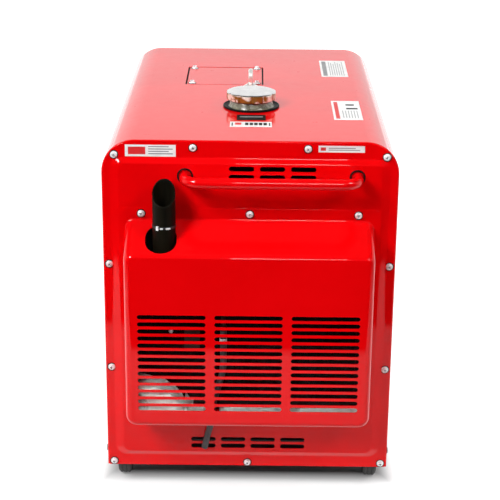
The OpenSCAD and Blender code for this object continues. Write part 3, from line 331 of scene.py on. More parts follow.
def piece(name, bm, slot, stands_for=None, looks=(), body=ENCLOSURE, bevel=0.0, segments=2, limit=40):
    """Turns a bmesh into a piece on a body. It wears its slot's finish, unless other looks are named."""
    o = to_object(bm, name)
    for look in looks or (slot,):
        o.data.materials.append(MATERIALS[look])
    soften(o, bevel, segments, limit=limit)
    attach(o, body)
    if stands_for:
        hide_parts(stands_for)


def round_rect(x0, x1, z0, z1, r_low, r_high, steps=10):
    """Points round a rectangle with round corners, anticlockwise as seen from -Y."""
    pts = []
    for cx, cz, r, start in (
        (x0 + r_low, z0 + r_low, r_low, 180),
        (x1 - r_low, z0 + r_low, r_low, 270),
        (x1 - r_high, z1 - r_high, r_high, 0),
        (x0 + r_high, z1 - r_high, r_high, 90),
    ):
        for i in range(steps + 1):
            a = math.radians(start + 90 * i / steps)
            pts.append((cx + r * math.cos(a), cz + r * math.sin(a)))
    return pts


def join_rows(bm, rows, index=0):
    """Quads between closed rows of vertices, each row with the same count; index is their material."""
    for a, b in zip(rows, rows[1:]):
        for i in range(len(a)):
            j = (i + 1) % len(a)
            bm.faces.new((a[i], a[j], b[j], b[i])).material_index = index


def tube_skin(loops):
    """A closed skin through rings of points that comes back to the first ring."""
    bm = bmesh.new()
    rows = [[bm.verts.new(p) for p in loop] for loop in loops]
    join_rows(bm, rows + rows[:1])
    bmesh.ops.recalc_face_normals(bm, faces=bm.faces)
    return bm


def loft(loops, cap_first=False):
    """A skin through closed rings of points, with a cap on the last ring."""
    bm = bmesh.new()
    rings = [[bm.verts.new(p) for p in loop] for loop in loops]
    join_rows(bm, rings)
    bm.faces.new(rings[-1])
    if cap_first:
        bm.faces.new(list(reversed(rings[0])))
    return bm


def to_object(bm, name="scratch"):
    mesh = bpy.data.meshes.new(name)
    bm.to_mesh(mesh)
    bm.free()
    o = bpy.data.objects.new(name, mesh)
    bpy.context.scene.collection.objects.link(o)
    return o


def discard(o):
    mesh = o.data
    bpy.data.objects.remove(o)
    bpy.data.meshes.remove(mesh)


def merge(bm, other, place=None):
    """Adds a second bmesh to the first, moved by the matrix, and frees it."""
    mesh = bpy.data.meshes.new("temp")
    other.to_mesh(mesh)
    other.free()
    if place:
        mesh.transform(place)
    bm.from_mesh(mesh)
    bpy.data.meshes.remove(mesh)


def move(bm, place):
    """Moves a whole bmesh by the matrix, keeping its faces outwards."""
    bmesh.ops.transform(bm, matrix=place, verts=bm.verts)
    bmesh.ops.recalc_face_normals(bm, faces=bm.faces)


def baked(o):
    """A bmesh of an object with its modifiers applied; the object is removed."""
    bpy.context.view_layer.update()
    dg = bpy.context.evaluated_depsgraph_get()
    bm = bmesh.new()
    bm.from_object(o, dg)
    discard(o)
    return bm


def thicken(bm, t):
    o = to_object(bm)
    s = o.modifiers.new("s", "SOLIDIFY")
    s.thickness, s.offset, s.use_even_offset, s.use_quality_normals = t, -1, True, True
    return baked(o)


def cut_with(bm, cutter_bm):
    a, b = to_object(bm), to_object(cutter_bm, "cutter")
    m = a.modifiers.new("b", "BOOLEAN")
    m.operation, m.solver, m.object = "DIFFERENCE", "EXACT", b
    out = baked(a)
    discard(b)
    return out


def add_prism(bm, outline, y0, y1):
    """Adds a prism along Y with the given x-z outline."""
    low = [bm.verts.new((x, y0, z)) for x, z in outline]
    high = [bm.verts.new((x, y1, z)) for x, z in outline]
    n = len(outline)
    bm.faces.new(low)
    bm.faces.new(list(reversed(high)))
    for i in range(n):
        j = (i + 1) % n
        bm.faces.new((low[j], low[i], high[i], high[j]))


def oblong(cx, cz, length, height, steps=8):
    r = height / 2
    return round_rect(cx - length / 2, cx + length / 2, cz - r, cz + r, r * 0.9999, r * 0.9999, steps)


# turns a shape drawn along Z so that it runs along Y
FLAT_TO_Y = Matrix.Rotation(math.radians(90), 4, "X")


def disc(cx, cz, r, steps=32):
    turns = [2 * math.pi * i / steps for i in range(steps)]
    return [(cx + r * math.cos(a), cz + r * math.sin(a)) for a in turns]


def lathe(profile, centre, steps=96, wave=None):
    """A closed body of revolution round Z. profile is a closed loop of (radius, height, wave share)."""
    bm = bmesh.new()
    rings = []
    for k in range(steps):
        a = 2 * math.pi * k / steps
        row = []
        for p in profile:
            r = p[0] - (wave(a) * p[2] if wave and len(p) > 2 else 0)
            row.append(bm.verts.new((centre[0] + r * math.cos(a), centre[1] + r * math.sin(a), centre[2] + p[1])))
        rings.append(row)
    m = len(profile)
    for k in range(steps):
        a, b = rings[k], rings[(k + 1) % steps]
        for i in range(m):
            j = (i + 1) % m
            if profile[i][0] < 1e-7 and profile[j][0] < 1e-7:
                continue
            bm.faces.new((a[i], b[i], b[j], a[j]))
    bmesh.ops.remove_doubles(bm, verts=bm.verts, dist=1e-6)
    bmesh.ops.recalc_face_normals(bm, faces=bm.faces)
    return bm


def ring_3d(outline, y):
    return [(x, y, z) for x, z in outline]


# ---------- drain hose ----------

HOSE_ROUTE = [
    (-46, -30, 292), (-46, -30, 276), (-46, -30, 260), (-46, -30, 244), (-46, -30, 228),
    (-47, -30, 212), (-50, -29, 196), (-54, -28, 180), (-59, -27, 164), (-63, -25, 148),
    (-65, -23, 132), (-66, -21, 118), (-68, -19, 103), (-71, -17, 88), (-75, -16, 73),
    (-78, -15, 58), (-81, -14, 45),
]


def make_hose():
    route = [Vector((x * MM, Y_FRONT + y * MM, Z_LOW + z * MM)) for x, y, z in HOSE_ROUTE]
    curve = bpy.data.curves.new("drain_hose_tube", "CURVE")
    curve.dimensions = "3D"
    curve.bevel_depth = 0.006
    curve.bevel_resolution = 8
    curve.resolution_u = 8
    curve.use_fill_caps = True
    spline = curve.splines.new("BEZIER")
    spline.bezier_points.add(len(route) - 1)
    for p, co in zip(spline.bezier_points, route):
        p.co = co
        p.handle_left_type = p.handle_right_type = "AUTO"
    o = bpy.data.objects.new("drain_hose_tube", curve)
    bpy.context.scene.collection.objects.link(o)
    curve.materials.append(MATERIALS["hose_rubber"])
    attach(o, ENCLOSURE)
    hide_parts("drain_hose")


make_hose()


# ---------- exhaust end panel ----------

EMBOSS = (-0.2515, 0.2515, Z_LOW + 0.021, Z_LOW + 0.6098)
EMBOSS_R = 0.022


def pressed_panel():
    """The sheet of an end panel: flat border, soft ramp, raised middle. Outer face towards -Y."""
    loops = []
    edge_gap = 0.0008
    edge = 0.0018
    for k in range(5):
        a = math.radians(90 * k / 4)
        inset, y = edge_gap + edge * (1 - math.cos(a)), Y_FRONT + edge * (1 - math.sin(a))
        loops.append(ring_3d(
            round_rect(-HALF_W + inset, HALF_W - inset, Z_LOW + 0.0003, Z_TOP - inset, 0.003, CORNER_R - inset), y))
    # the ramp is drawn inwards of the pressed outline, in steps
    ramp = 0.0125
    steps = 14
    soft = 0.25
    x0, x1, z0, z1 = EMBOSS
    side_widening = 1.55
    for k in range(steps + 1):
        t = k / steps
        inset = ramp * t
        side = inset * side_widening
        if t < soft:
            share = t * t / (2 * soft * (1 - soft))
        elif t < 1 - soft:
            share = (t - soft / 2) / (1 - soft)
        else:
            share = 1 - (1 - t) ** 2 / (2 * soft * (1 - soft))
        rise = RAISE * share
        loops.append(ring_3d(round_rect(x0 + side, x1 - side, z0 + inset, z1 - inset,
                                        EMBOSS_R - inset * 0.6, EMBOSS_R - inset * 1.5), Y_FRONT - rise))
    return loft(loops)


BORDER_SCREWS = [(242, 613), (102, 626.5), (254, 407), (254, 203), (253, 8)]
COLUMN = 0.138
HANDLE_ENDS = (0.0374 - 0.153, 0.0374 + 0.153)
HANDLE_Z = 0.6265
PIPE_X, PIPE_Y, PIPE_LEVEL = -0.1515, -0.4225, 0.470


def add_screw_hole(cut, x, z, y0, y1):
    """A hole for a flange screw, at x and z in millimetres above the case's lower edge."""
    add_prism(cut, disc(x * MM, Z_LOW + z * MM, 0.0033, 16), y0, y1)


def add_outlets(cut, col, y0, y1):
    """The two hot-air outlets behind one column of the hood's slots."""
    cx = col * COLUMN
    for row in (0, 1):
        cz = Z_LOW + 0.199 + row * 0.098
        add_prism(cut, round_rect(cx - 0.06, cx + 0.06, cz - 0.044, cz + 0.044, 0.006, 0.006, 4), y0, y1)


def make_exhaust_end_panel():
    bm = thicken(pressed_panel(), SHEET)
    cut = bmesh.new()
    y0, y1 = Y_FRONT - 0.02, Y_FRONT + 0.02
    for col in (-1, 0, 1):
        for z in (575, 590):
            add_prism(cut, oblong((39.5 + col * 55) * MM, Z_LOW + z * MM, 0.045, 0.009), y0, y1)
        add_outlets(cut, col, y0, y1)
    for col in (-1.5, -0.5, 0.5, 1.5):
        for z in (44.5, 58.2):
            add_prism(cut, oblong((0.7 + col * 56) * MM, Z_LOW + z * MM, 0.046, 0.009), y0, y1)
    for s, end in zip((-1, 1), HANDLE_ENDS):
        add_prism(cut, disc(end, HANDLE_Z, 0.0115), y0, y1)
        for x, z in BORDER_SCREWS:
            add_screw_hole(cut, s * x, z, y0, y1)
    add_screw_hole(cut, 0, 7.5, y0, y1)
    add_prism(cut, disc(PIPE_X, PIPE_LEVEL, 0.023), y0, y1)
    piece("end_panel_sheet", cut_with(bm, cut), "red_paint", "exhaust_end_panel", bevel=0.0004)


make_exhaust_end_panel()


def make_handle_hole_shade():
    """Dark rings round the holes where the carrying handle goes through the panel, standing in for the shade in the
    gap round each tube (painted shade).
    """
    bm = bmesh.new()
    profile = [(0.0113, 0.0), (0.0143, 0.0), (0.0143, 0.0003), (0.0136, 0.0008), (0.0113, 0.0008)]
    for end in HANDLE_ENDS:
        merge(bm, lathe(profile, (0, 0, 0), 48), Matrix.Translation((end, Y_FRONT - RAISE, HANDLE_Z)) @ FLAT_TO_Y)
    piece("handle_hole_shade", bm, "black_rubber")


make_handle_hole_shade()


# ---------- exhaust hood ----------

HOOD_W = 0.2225
HOOD_LOW = Z_LOW + 0.118
HOOD_EDGE = Z_LOW + 0.449
HOOD_FOLD = Z_LOW + 0.4955
# half width, lower edge, upper edge and corner radius
HOOD_FLANGE = (0.235, Z_LOW + 0.104, Z_LOW + 0.517, 0.012)
Y_HOOD_BACK = Y_FRONT - RAISE - SHEET
Y_HOOD_FACE = Y_FRONT - 0.080
HOOD_R = 0.020
SLOTS = [(col * COLUMN, Z_LOW + 0.33525 - row * 0.01375) for col in (-1, 0, 1) for row in range(14)]


def hood_top_at(y):
    """Height of the sloping top at a place along Y."""
    t = (Y_HOOD_BACK - y) / (Y_HOOD_BACK - Y_HOOD_FACE)
    return HOOD_FOLD + (HOOD_EDGE - HOOD_FOLD) * t


def make_hood():
    loops = []
    corner = 0.0160

    def ring(half, low, top, y, r_low=HOOD_R, r_top=corner):
        loops.append(ring_3d(round_rect(-half, half, low, top, r_low, r_top), y))

    flange_half, flange_low, flange_top, flange_r = HOOD_FLANGE
    for inset, y in ((0.0, Y_HOOD_BACK + 0.0003), (0.0005, Y_HOOD_BACK)):
        ring(flange_half - inset, flange_low + inset, flange_top - inset, y, flange_r, flange_r)
    # concave fold from the flange into the walls
    fold = 0.0025
    for k in range(4):
        a = math.radians(90 * k / 3)
        grow, y = fold * (1 - math.sin(a)), Y_HOOD_BACK - fold * (1 - math.cos(a))
        ring(HOOD_W + grow, HOOD_LOW - grow, hood_top_at(y) + grow, y)
    # walls, then the soft bend into the front face
    bend = 0.0130
    for y in (-0.41, -0.43, Y_HOOD_FACE + bend):
        ring(HOOD_W, HOOD_LOW, hood_top_at(y), y)
    bend_steps = 7
    slope_drop = hood_top_at(Y_HOOD_FACE + bend) - HOOD_EDGE
    for k in range(1, bend_steps + 1):
        a = math.radians(90 * k / bend_steps)
        inset = bend * (1 - math.cos(a))
        y = Y_HOOD_FACE + bend * (1 - math.sin(a))
        top = HOOD_EDGE + slope_drop * (1 - k / bend_steps) ** 1.25 - 0.003 * (k / bend_steps) ** 2
        ring(HOOD_W - inset, HOOD_LOW + inset, top, y, HOOD_R - inset, corner - inset * 0.8)
    bm = thicken(loft(loops), 0.0018)
    cut = bmesh.new()
    for cx, cz in SLOTS:
        add_prism(cut, oblong(cx, cz, 0.1225, 0.0087), Y_HOOD_FACE - 0.01, Y_HOOD_FACE + 0.01)
    for s in (-1, 0, 1):
        for z in (506.5, 111.2):
            add_screw_hole(cut, s * 194.4, z, Y_HOOD_BACK - 0.005, Y_HOOD_BACK + 0.005)
    bm = cut_with(bm, cut)
    # opening for the tail pipe, square to the sloping wall
    slope = math.atan2(HOOD_FOLD - HOOD_EDGE, Y_HOOD_BACK - Y_HOOD_FACE)
    tool = bmesh.new()
    add_prism(tool, [(z, x) for x, z in reversed(oblong(0, 0, 0.065, 0.056, 16))], -0.014, 0.014)
    move(tool, Matrix.Translation((-0.157, Y_FRONT - 0.0456, Z_LOW + 0.4706))
         @ Matrix.Rotation(slope, 4, "X") @ FLAT_TO_Y)
    bm = cut_with(bm, tool)
    # hole in the floor for the drain hose
    hole = bmesh.new()
    add_prism(hole, disc(0, 0, 0.009), -0.008, 0.008)
    move(hole, Matrix.Translation((-0.066, Y_FRONT - 0.021, HOOD_LOW)) @ FLAT_TO_Y)
    bm = cut_with(bm, hole)
    piece("exhaust_hood_sheet", bm, "red_paint", "exhaust_hood", bevel=0.0004)


make_hood()


def make_hood_lining():
    """Dark heat shield behind the hood, with the hot-air outlets left open."""
    y0 = Y_FRONT - RAISE - 0.0008
    bm = bmesh.new()
    x = HOOD_W - 0.004
    add_prism(bm, round_rect(-x, x, HOOD_LOW + 0.004, HOOD_FOLD - 0.006, 0.016, 0.004), y0 - 0.0012, y0)
    cut = bmesh.new()
    for col in (-1, 0, 1):
        add_outlets(cut, col, y0 - 0.01, y0 + 0.01)
    add_prism(cut, disc(PIPE_X, PIPE_LEVEL, 0.024), y0 - 0.01, y0 + 0.01)
    piece("hood_heat_shield", cut_with(bm, cut), "foam")


make_hood_lining()


def make_outlet_shade_sheet():
    """Dark foam-finished sheet a little way behind the hot-air outlets, standing in for the shade inside the case
    (painted shade).
    """
    y = Y_FRONT + 0.012
    bm = bmesh.new()
    add_prism(bm, round_rect(-0.207, 0.207, Z_LOW + 0.146, Z_LOW + 0.350, 0.006, 0.006, 4), y - 0.0012, y)
    piece("outlet_shade_sheet", bm, "foam")


make_outlet_shade_sheet()


def tube_rings(path, radius, steps=64):
    """Rings of points swept along a path of (place, axis direction) pairs, each square to its axis."""
    rings = []
    for at, axis in path:
        side = Vector((1, 0, 0))
        other = axis.cross(side).normalized()
        rings.append([at + side * (radius * math.cos(2 * math.pi * k / steps)) +
                      other * (radius * math.sin(2 * math.pi * k / steps)) for k in range(steps)])
    return rings


def make_hood_fittings():
    """A clamp on the pipe, one on the hose, and a small bracket with its screw, all inside the hood."""
    steel = ("zinc",)
    pipe = Vector((PIPE_X, PIPE_Y, 0.5455))
    bm = lathe([(0.0207, -0.0024), (0.0214, -0.0020), (0.0214, 0.0020), (0.0207, 0.0024)], pipe, 64)
    piece("pipe_clamp", bm, "black_steel", bevel=0.0003)
    bm = bmesh.new()
    for degrees, wide, tall in ((-119, 0.0045, 0.0075), (-99, 0.0050, 0.0022), (-68, 0.0085, 0.0026)):
        a = math.radians(degrees)
        at = pipe + Vector((0.0222 * math.cos(a), 0.0222 * math.sin(a), 0))
        bmesh.ops.create_cube(bm, size=1, matrix=Matrix.Translation(at) @ Matrix.Rotation(a, 4, "Z")
                              @ Matrix.Diagonal((0.0026, wide, tall, 1)))
    piece("pipe_clamp_bolts", bm, None, looks=steel, bevel=0.0004)
    hose = Vector((-0.046, Y_FRONT - 0.030, 0.322))
    bm = lathe([(0.0062, -0.0040), (0.0070, -0.0036), (0.0070, 0.0036), (0.0062, 0.0040)], hose, 48)
    bmesh.ops.create_cube(bm, size=0.0055, matrix=Matrix.Translation(hose + Vector((-0.003, -0.0075, 0))))
    piece("hose_clamp", bm, None, looks=steel, bevel=0.0003)
    bm = bmesh.new()
    y = Y_FRONT - RAISE - 0.0026
    add_prism(bm, round_rect(-0.1185, -0.0895, 0.2955, 0.3320, 0.002, 0.002, 4), y - 0.001, y)
    piece("hood_bracket", bm, "exhaust_steel", bevel=0.0002)
    bm = bmesh.new()
    add_prism(bm, disc(-0.1425, 0.3300, 0.0042, 6), y - 0.003, y + 0.0015)
    piece("hood_bracket_screw", bm, None, looks=steel, bevel=0.0005)


make_hood_fittings()


# ---------- tail pipe ----------

def make_tail_pipe():
    """Bent tube with a slanted mouth that opens forwards and up."""
    x, y, level = PIPE_X, PIPE_Y, PIPE_LEVEL
    outer, wall, bend = 0.0205, 0.0015, 0.035
    far_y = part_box("tail_pipe")[1][1]
    mouth_low, mouth_high = 0.584, 0.6255

    def skin(radius):
        path = [(Vector((x, at, level)), Vector((0, -1, 0))) for at in (far_y, y + bend + 0.02)]
        for k in range(13):
            a = math.radians(90 * k / 12)
            path.append((Vector((x, y + bend * (1 - math.sin(a)), level + bend * (1 - math.cos(a)))),
                         Vector((0, -math.cos(a), math.sin(a)))))
        path += [(Vector((x, y, at)), Vector((0, 0, 1))) for at in (0.540, 0.575)]
        rings = tube_rings(path, radius)
        mid, tilt = (mouth_low + mouth_high) / 2, (mouth_high - mouth_low) / (2 * outer)
        rings.append([Vector((p.x, p.y, mid + tilt * (p.y - y))) for p in rings[-1]])
        return rings

    bm = tube_skin(skin(outer) + list(reversed(skin(outer - wall))))
    piece("tail_pipe_tube", bm, "black_enamel", "tail_pipe", bevel=0.0003)


make_tail_pipe()


def plate_outline(half_x, half_y, radius):
    """A rounded outline round the middle of the access plate."""
    cx, cy = -0.0555, 0.129
    return round_rect(cx - half_x, cx + half_x, cy - half_y, cy + half_y, radius, radius, 6)


def make_plate_gap_shade():
    """Dark strip in the gap round the access plate, standing in for the shade in that gap (painted shade)."""
    outer, inner = plate_outline(0.0795, 0.0815, 0.005), plate_outline(0.0767, 0.0787, 0.004)
    z0, z1 = Z_TOP - SHEET + 0.0001, Z_TOP - SHEET + 0.0009
    bm = tube_skin([[(u, v, z) for u, v in ring]
                    for ring, z in ((outer, z0), (outer, z1), (inner, z1), (inner, z0))])
    piece("access_plate_gap_shade", bm, "foam")


make_plate_gap_shade()


# ---------- fuel cap, grommet, lifting eye ----------

def make_fuel_cap():
    notches = 12

    def wave(a):
        return 0.0032 * (1 - abs(math.sin(a * notches / 2)) ** 0.4)

    profile = [
        (0.0, 0.0326, 0), (0.012, 0.0326, 0), (0.026, 0.0322, 0), (0.036, 0.0315, 0), (0.0430, 0.0306, 0.1),
        (0.0460, 0.0299, 0.3), (0.0474, 0.0291, 0.6), (0.0479, 0.0280, 0.9), (0.0480, 0.0255, 1), (0.0480, 0.0205, 1),
        (0.0479, 0.0180, 1), (0.0475, 0.0167, 1), (0.0466, 0.0160, 0.8), (0.0448, 0.0158, 0.4), (0.0420, 0.0158, 0),
        (0.0396, 0.0158, 0), (0.0375, 0.0159, 0), (0.0372, 0.0165, 0), (0.0372, 0.0218, 0), (0.0, 0.0220, 0),
    ]
    bm = lathe(profile, CAP_AT, 240, wave)
    # the grip round the rim wears the patchy gold and white finish, a painted reflection
    for f in bm.faces:
        c = f.calc_center_median() - CAP_AT
        if c.xy.length > 0.0415 and c.z < 0.0288:
            f.material_index = 1
    piece("fuel_cap_shell", bm, "chrome", "fuel_cap", ("chrome", "chrome_painted_reflection"), body="fuel_cap")


make_fuel_cap()


def make_grommet():
    profile = [
        (0.0352, -0.0018), (0.0398, -0.0018), (0.0398, 0.0002), (0.0525, 0.0002), (0.0537, 0.0008), (0.0540, 0.0020),
        (0.0537, 0.0034), (0.0528, 0.0041), (0.0516, 0.0040), (0.0506, 0.0031), (0.0486, 0.0021), (0.0462, 0.0019),
        (0.0440, 0.0021), (0.0428, 0.0032), (0.0420, 0.0052), (0.0412, 0.0078), (0.0402, 0.0108), (0.0396, 0.0128),
        (0.0388, 0.0138), (0.0362, 0.0141), (0.0354, 0.0136), (0.0352, 0.0124),
    ]
    bm = lathe(profile, CAP_AT, 144)
    # the boss round the neck wears the lighter rubber finish, a painted sheen
    for f in bm.faces:
        c = f.calc_center_median() - CAP_AT
        if c.xy.length < 0.0448 and c.z > 0.0018:
            f.material_index = 1
    piece("filler_grommet_ring", bm, "black_rubber", "filler_grommet", ("black_rubber", "boss_rubber_painted_sheen"))


make_grommet()


def make_lifting_eye():
    """Forged eye: round ring on a short neck and a cone foot."""
    around, across = 64, 20
    mid_r, bar_r, bar_half_x, ring_z = 0.01265, 0.0033, 0.0044, 0.022
    loops = []
    for i in range(around):
        a = 2 * math.pi * i / around
        loop = []
        for k in range(across):
            b = 2 * math.pi * k / across
            r = mid_r + bar_r * math.cos(b)
            loop.append(EYE_AT + Vector((bar_half_x * math.sin(b), r * math.cos(a), ring_z + r * math.sin(a))))
        loops.append(loop)
    bm = tube_skin(loops)
    foot = [(0.0, -0.0300), (0.0052, -0.0300), (0.0058, -0.0292), (0.0058, -0.0022), (0.0085, -0.0020),
            (0.0085, 0.0001), (0.0146, 0.0001), (0.0150, 0.0006), (0.0150, 0.0018), (0.0144, 0.0026),
            (0.0100, 0.0048), (0.0072, 0.0068), (0.0058, 0.0086), (0.0050, 0.0100), (0.0, 0.0104)]
    merge(bm, lathe(foot, EYE_AT, 48))
    piece("lifting_eye_ring", bm, "chrome", "lifting_eye", ("satin_chrome",))


make_lifting_eye()


# ---------- crinkled foil in the hood ----------

def make_foil():
    src = NODES["foil_liner"]
    bm = bmesh.new()
    bm.from_mesh(src.data)
    bmesh.ops.remove_doubles(bm, verts=bm.verts, dist=1e-5)
    o = to_object(bm)
    r = o.modifiers.new("r", "REMESH")
    r.mode, r.voxel_size = "VOXEL", 0.0032
    bm = baked(o)
    bm.normal_update()
    moves = []
    for v in bm.verts:
        p = v.co
        ridge = abs(noise.noise(Vector((p.x * 38, p.y * 60, p.z * 60)))) + \
            0.5 * abs(noise.noise(Vector((p.x * 110 + 9, p.y * 140, p.z * 140))))
        moves.append((v, v.normal * (-0.0030 * min(1.0, ridge * 1.6) - 0.0006)))
    for v, d in moves:
        v.co += d
        if v.co.x < -0.115:
            # the mound by the left wall has slumped
            v.co.z -= 0.013 * min(1.0, max(0.0, (v.co.z - 0.176) / 0.035))
        if v.co.z > 0.193 and v.co.x > -0.115:
            t = min(1.0, max(0.0, (v.co.y + 0.4605) / 0.022))
            v.co.z += 0.0045 * t * t * (3 - 2 * t)
    # painted shade: the rear of the pads' tops wears the dark foam finish, standing in for the shade deep behind the
    # slots
    for f in bm.faces:
        c = f.calc_center_median()
        if c.z > 0.19 and c.x > -0.10 and c.y > -0.4375:
            f.material_index = 1
    piece("foil_pad", bm, "foil", "foil_liner", ("foil", "foam"))


make_foil()


# ---------- generic labels ----------

def label(name, corner, across, along, up, marks, base="label_paper"):
    """A thin sticker. corner is its low corner; across and along span it; marks are (u0, v0, u1, v1, look)."""
    thick = 0.00025
    looks = [base]
    bm = bmesh.new()

    def slab(u0, v0, u1, v1, low, high, index):
        pts = [corner + across * u + along * v for u, v in ((u0, v0), (u1, v0), (u1, v1), (u0, v1))]
        a = [bm.verts.new(p + up * low) for p in pts]
        b = [bm.verts.new(p + up * high) for p in pts]
        for f in (b, a[::-1], *([a[i], a[(i + 1) % 4], b[(i + 1) % 4], b[i]] for i in range(4))):
            bm.faces.new(f).material_index = index

    slab(0, 0, 1, 1, 0.00003, thick, 0)
    for u0, v0, u1, v1, look in marks:
        if look not in looks:
            looks.append(look)
        slab(u0, v0, u1, v1, thick, thick + 0.00006, looks.index(look))
    bmesh.ops.recalc_face_normals(bm, faces=bm.faces)
    o = to_object(bm, name)
    for look in looks:
        o.data.materials.append(MATERIALS[look])
    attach(o, ENCLOSURE)


def make_labels():
    x, z, up = Vector((1, 0, 0)), Vector((0, 0, 1)), Vector((0, -1, 0))
    bars = [(0.06, 0.18, 0.40, 0.82, "ink_red")]
    bars += [(0.46, 0.20 + 0.2 * i, 0.94 - 0.08 * (i % 2), 0.28 + 0.2 * i, "ink_grey") for i in range(4)]
    label("label_end_left", Vector((-0.222, Y_FRONT, 0.660)), x * 0.090, z * 0.0215, up, bars)
    label("label_end_right", Vector((0.120, Y_FRONT, 0.671)), x * 0.082, z * 0.012, up,
          [(0.05, 0.25, 0.16, 0.75, "ink_red"), (0.22, 0.3, 0.9, 0.42, "ink_grey"),
           (0.22, 0.58, 0.8, 0.7, "ink_grey")])
    y, top = Vector((0, 1, 0)), Vector((0, 0, 1))
    far = [(0.08, 0.06, 0.24, 0.94, "ink_grey")]
    far += [(0.34 + 0.085 * i, 0.08, 0.365 + 0.085 * i, 0.92 - 0.06 * (i % 3), "ink_grey") for i in range(7)]
    label("label_top_far", Vector((0.146, 0.1285, Z_TOP)), x * 0.0555, y * 0.155, top, far)
    near = [(0.08, 0.06, 0.22, 0.94, "ink_red"), (0.5, 0.55, 0.9, 0.62, "ink_dark"),
            (0.5, 0.75, 0.8, 0.82, "ink_dark")]
    near += [(0.34 + 0.1 * i, 0.1, 0.365 + 0.1 * i, 0.48, "ink_grey") for i in range(6)]
    label("label_top_near", Vector((0.155, -0.2275, Z_TOP)), x * 0.054, y * 0.146, top, near)
    filler = [(0.04, 0.22, 0.07, 0.80, "ink_dark"), (0.12, 0.40, 0.27, 0.82, "ink_red"),
              (0.93, 0.22, 0.96, 0.80, "ink_dark")]
    filler += [(0.36 + 0.11 * i, 0.34, 0.44 + 0.11 * i, 0.80, "ink_dark") for i in range(5)]
    label("label_filler", Vector((-0.0385, -0.2860, Z_TOP)), x * 0.0770, y * 0.0370, top, filler)
    # painted reflection: a dark glossy strip with a grey stripe stands in for the reflection of the grommet and the
    # cap's neck in the paint before the filler
    label("filler_reflection_band", Vector((-0.0265, -0.2375, Z_TOP)), x * 0.0540, y * 0.0400, top,
          [(0.10, 0.52, 0.90, 0.74, "ink_grey")], "ink_dark")


make_labels()


# ---------- flanged screws with a cross recess ----------

def loose_parts(mesh):
    """Boxes round the separate solids of a mesh, as (low, high, points)."""
    bm = bmesh.new()
    bm.from_mesh(mesh)
    bmesh.ops.remove_doubles(bm, verts=bm.verts, dist=1e-5)
    bm.verts.ensure_lookup_table()
    seen, parts = set(), []
    for start in bm.verts:
        if start.index in seen:
            continue
        seen.add(start.index)
        queue, pts = [start], []
        while queue:
            v = queue.pop()
            pts.append(v.co.copy())
            for e in v.link_edges:
                w = e.other_vert(v)
                if w.index not in seen:
                    seen.add(w.index)
                    queue.append(w)
        low = Vector([min(p[i] for p in pts) for i in range(3)])
        high = Vector([max(p[i] for p in pts) for i in range(3)])
        parts.append((low, high, pts))
    bm.free()
    return parts


def detailed_screw(flange_r, under, tip):
    """One screw along +Z, its flange resting at z = 0, shank down to -tip."""
    head_r, head_top, shank = flange_r * 0.70, under + 0.0034, 0.0024
    profile = [(0.0, -tip), (shank * 0.8, -tip), (shank, -tip + 0.0008), (shank, 0.0), (flange_r * 0.97, 0.0),
               (flange_r, 0.0004), (flange_r * 0.985, 0.0009), (flange_r * 0.80, under), (head_r, under),
               (0.0, under)]
    bm = lathe(profile, (0, 0, 0), 40)
    low, high = [], []
    for k in range(6):
        a = math.radians(60 * k + 12)
        low.append(bm.verts.new((head_r * math.cos(a), head_r * math.sin(a), under - 0.0002)))
        high.append(bm.verts.new((head_r * math.cos(a), head_r * math.sin(a), head_top)))
    join_rows(bm, [low, high])
    # cross recess in the top of the head; its faces take the second, grey finish as painted shade in the recess
    arm, half, deep = head_r * 0.60, head_r * 0.16, 0.0016
    cross = [(arm, -half), (arm, half), (half, half), (half, arm), (-half, arm), (-half, half), (-arm, half),
             (-arm, -half), (-half, -half), (-half, -arm), (half, -arm), (half, -half)]
    rim = [bm.verts.new((x, y, head_top)) for x, y in cross]
    bed = [bm.verts.new((x * 0.72, y * 0.72, head_top - deep)) for x, y in cross]
    join_rows(bm, [rim, bed], 1)
    bm.faces.new(bed).material_index = 1
    edges = [bm.edges.get(ends) for ring in (high, rim) for ends in zip(ring, ring[1:] + ring[:1])]
    bmesh.ops.triangle_fill(bm, edges=edges, use_beauty=True, normal=(0, 0, 1))
    bmesh.ops.recalc_face_normals(bm, faces=bm.faces)
    return bm


PLATE_DROP = 0.0003


def make_screws():
    """A detailed screw in place of each one of the CAD node. Returns the places of the access plate's."""
    plate_screws = []
    bm, rings = bmesh.new(), bmesh.new()
    for index, (low, high, pts) in enumerate(loose_parts(NODES["panel_screws"].data)):
        size, mid = high - low, (low + high) / 2
        axis = max(range(3), key=lambda i: min(abs(size[i] - size[j]) for j in range(3) if j != i))
        across = [i for i in range(3) if i != axis]
        wide = [p[axis] for p in pts
                if math.hypot(p[across[0]] - mid[across[0]], p[across[1]] - mid[across[1]]) > size[across[0]] * 0.46]
        seat, far = min(wide), max(wide)
        sign = 1 if (seat + far) / 2 > mid[axis] else -1
        base = seat if sign > 0 else far
        tip = abs(base - (low[axis] if sign > 0 else high[axis]))
        r = size[across[0]] / 2
        out = Vector([sign if i == axis else 0 for i in range(3)])
        place = Vector([base if i == axis else mid[i] for i in range(3)])
        if axis == 2:
            place.z -= PLATE_DROP
            plate_screws.append(place)
        seated = Matrix.Translation(place) @ out.to_track_quat("Z", "Y").to_matrix().to_4x4()
        merge(bm, detailed_screw(r, abs(far - seat) + 0.0006, tip), seated @ Matrix.Rotation(index * 0.9, 4, "Z"))
        # a dark ring round each flange stands in for the shade round the screw head (painted shade)
        dark_outline = [(r + 0.00003, 0), (r + 0.0017, 0), (r + 0.0014, 0.0005), (r + 0.00003, 0.0005)]
        merge(rings, lathe(dark_outline, (0, 0, 0), 32), seated)
    piece("screw_shade_rings", rings, "black_rubber")
    piece("panel_screw_set", bm, "zinc", "panel_screws", ("zinc", "ink_grey"), bevel=0.00025, segments=1, limit=50)
    return plate_screws


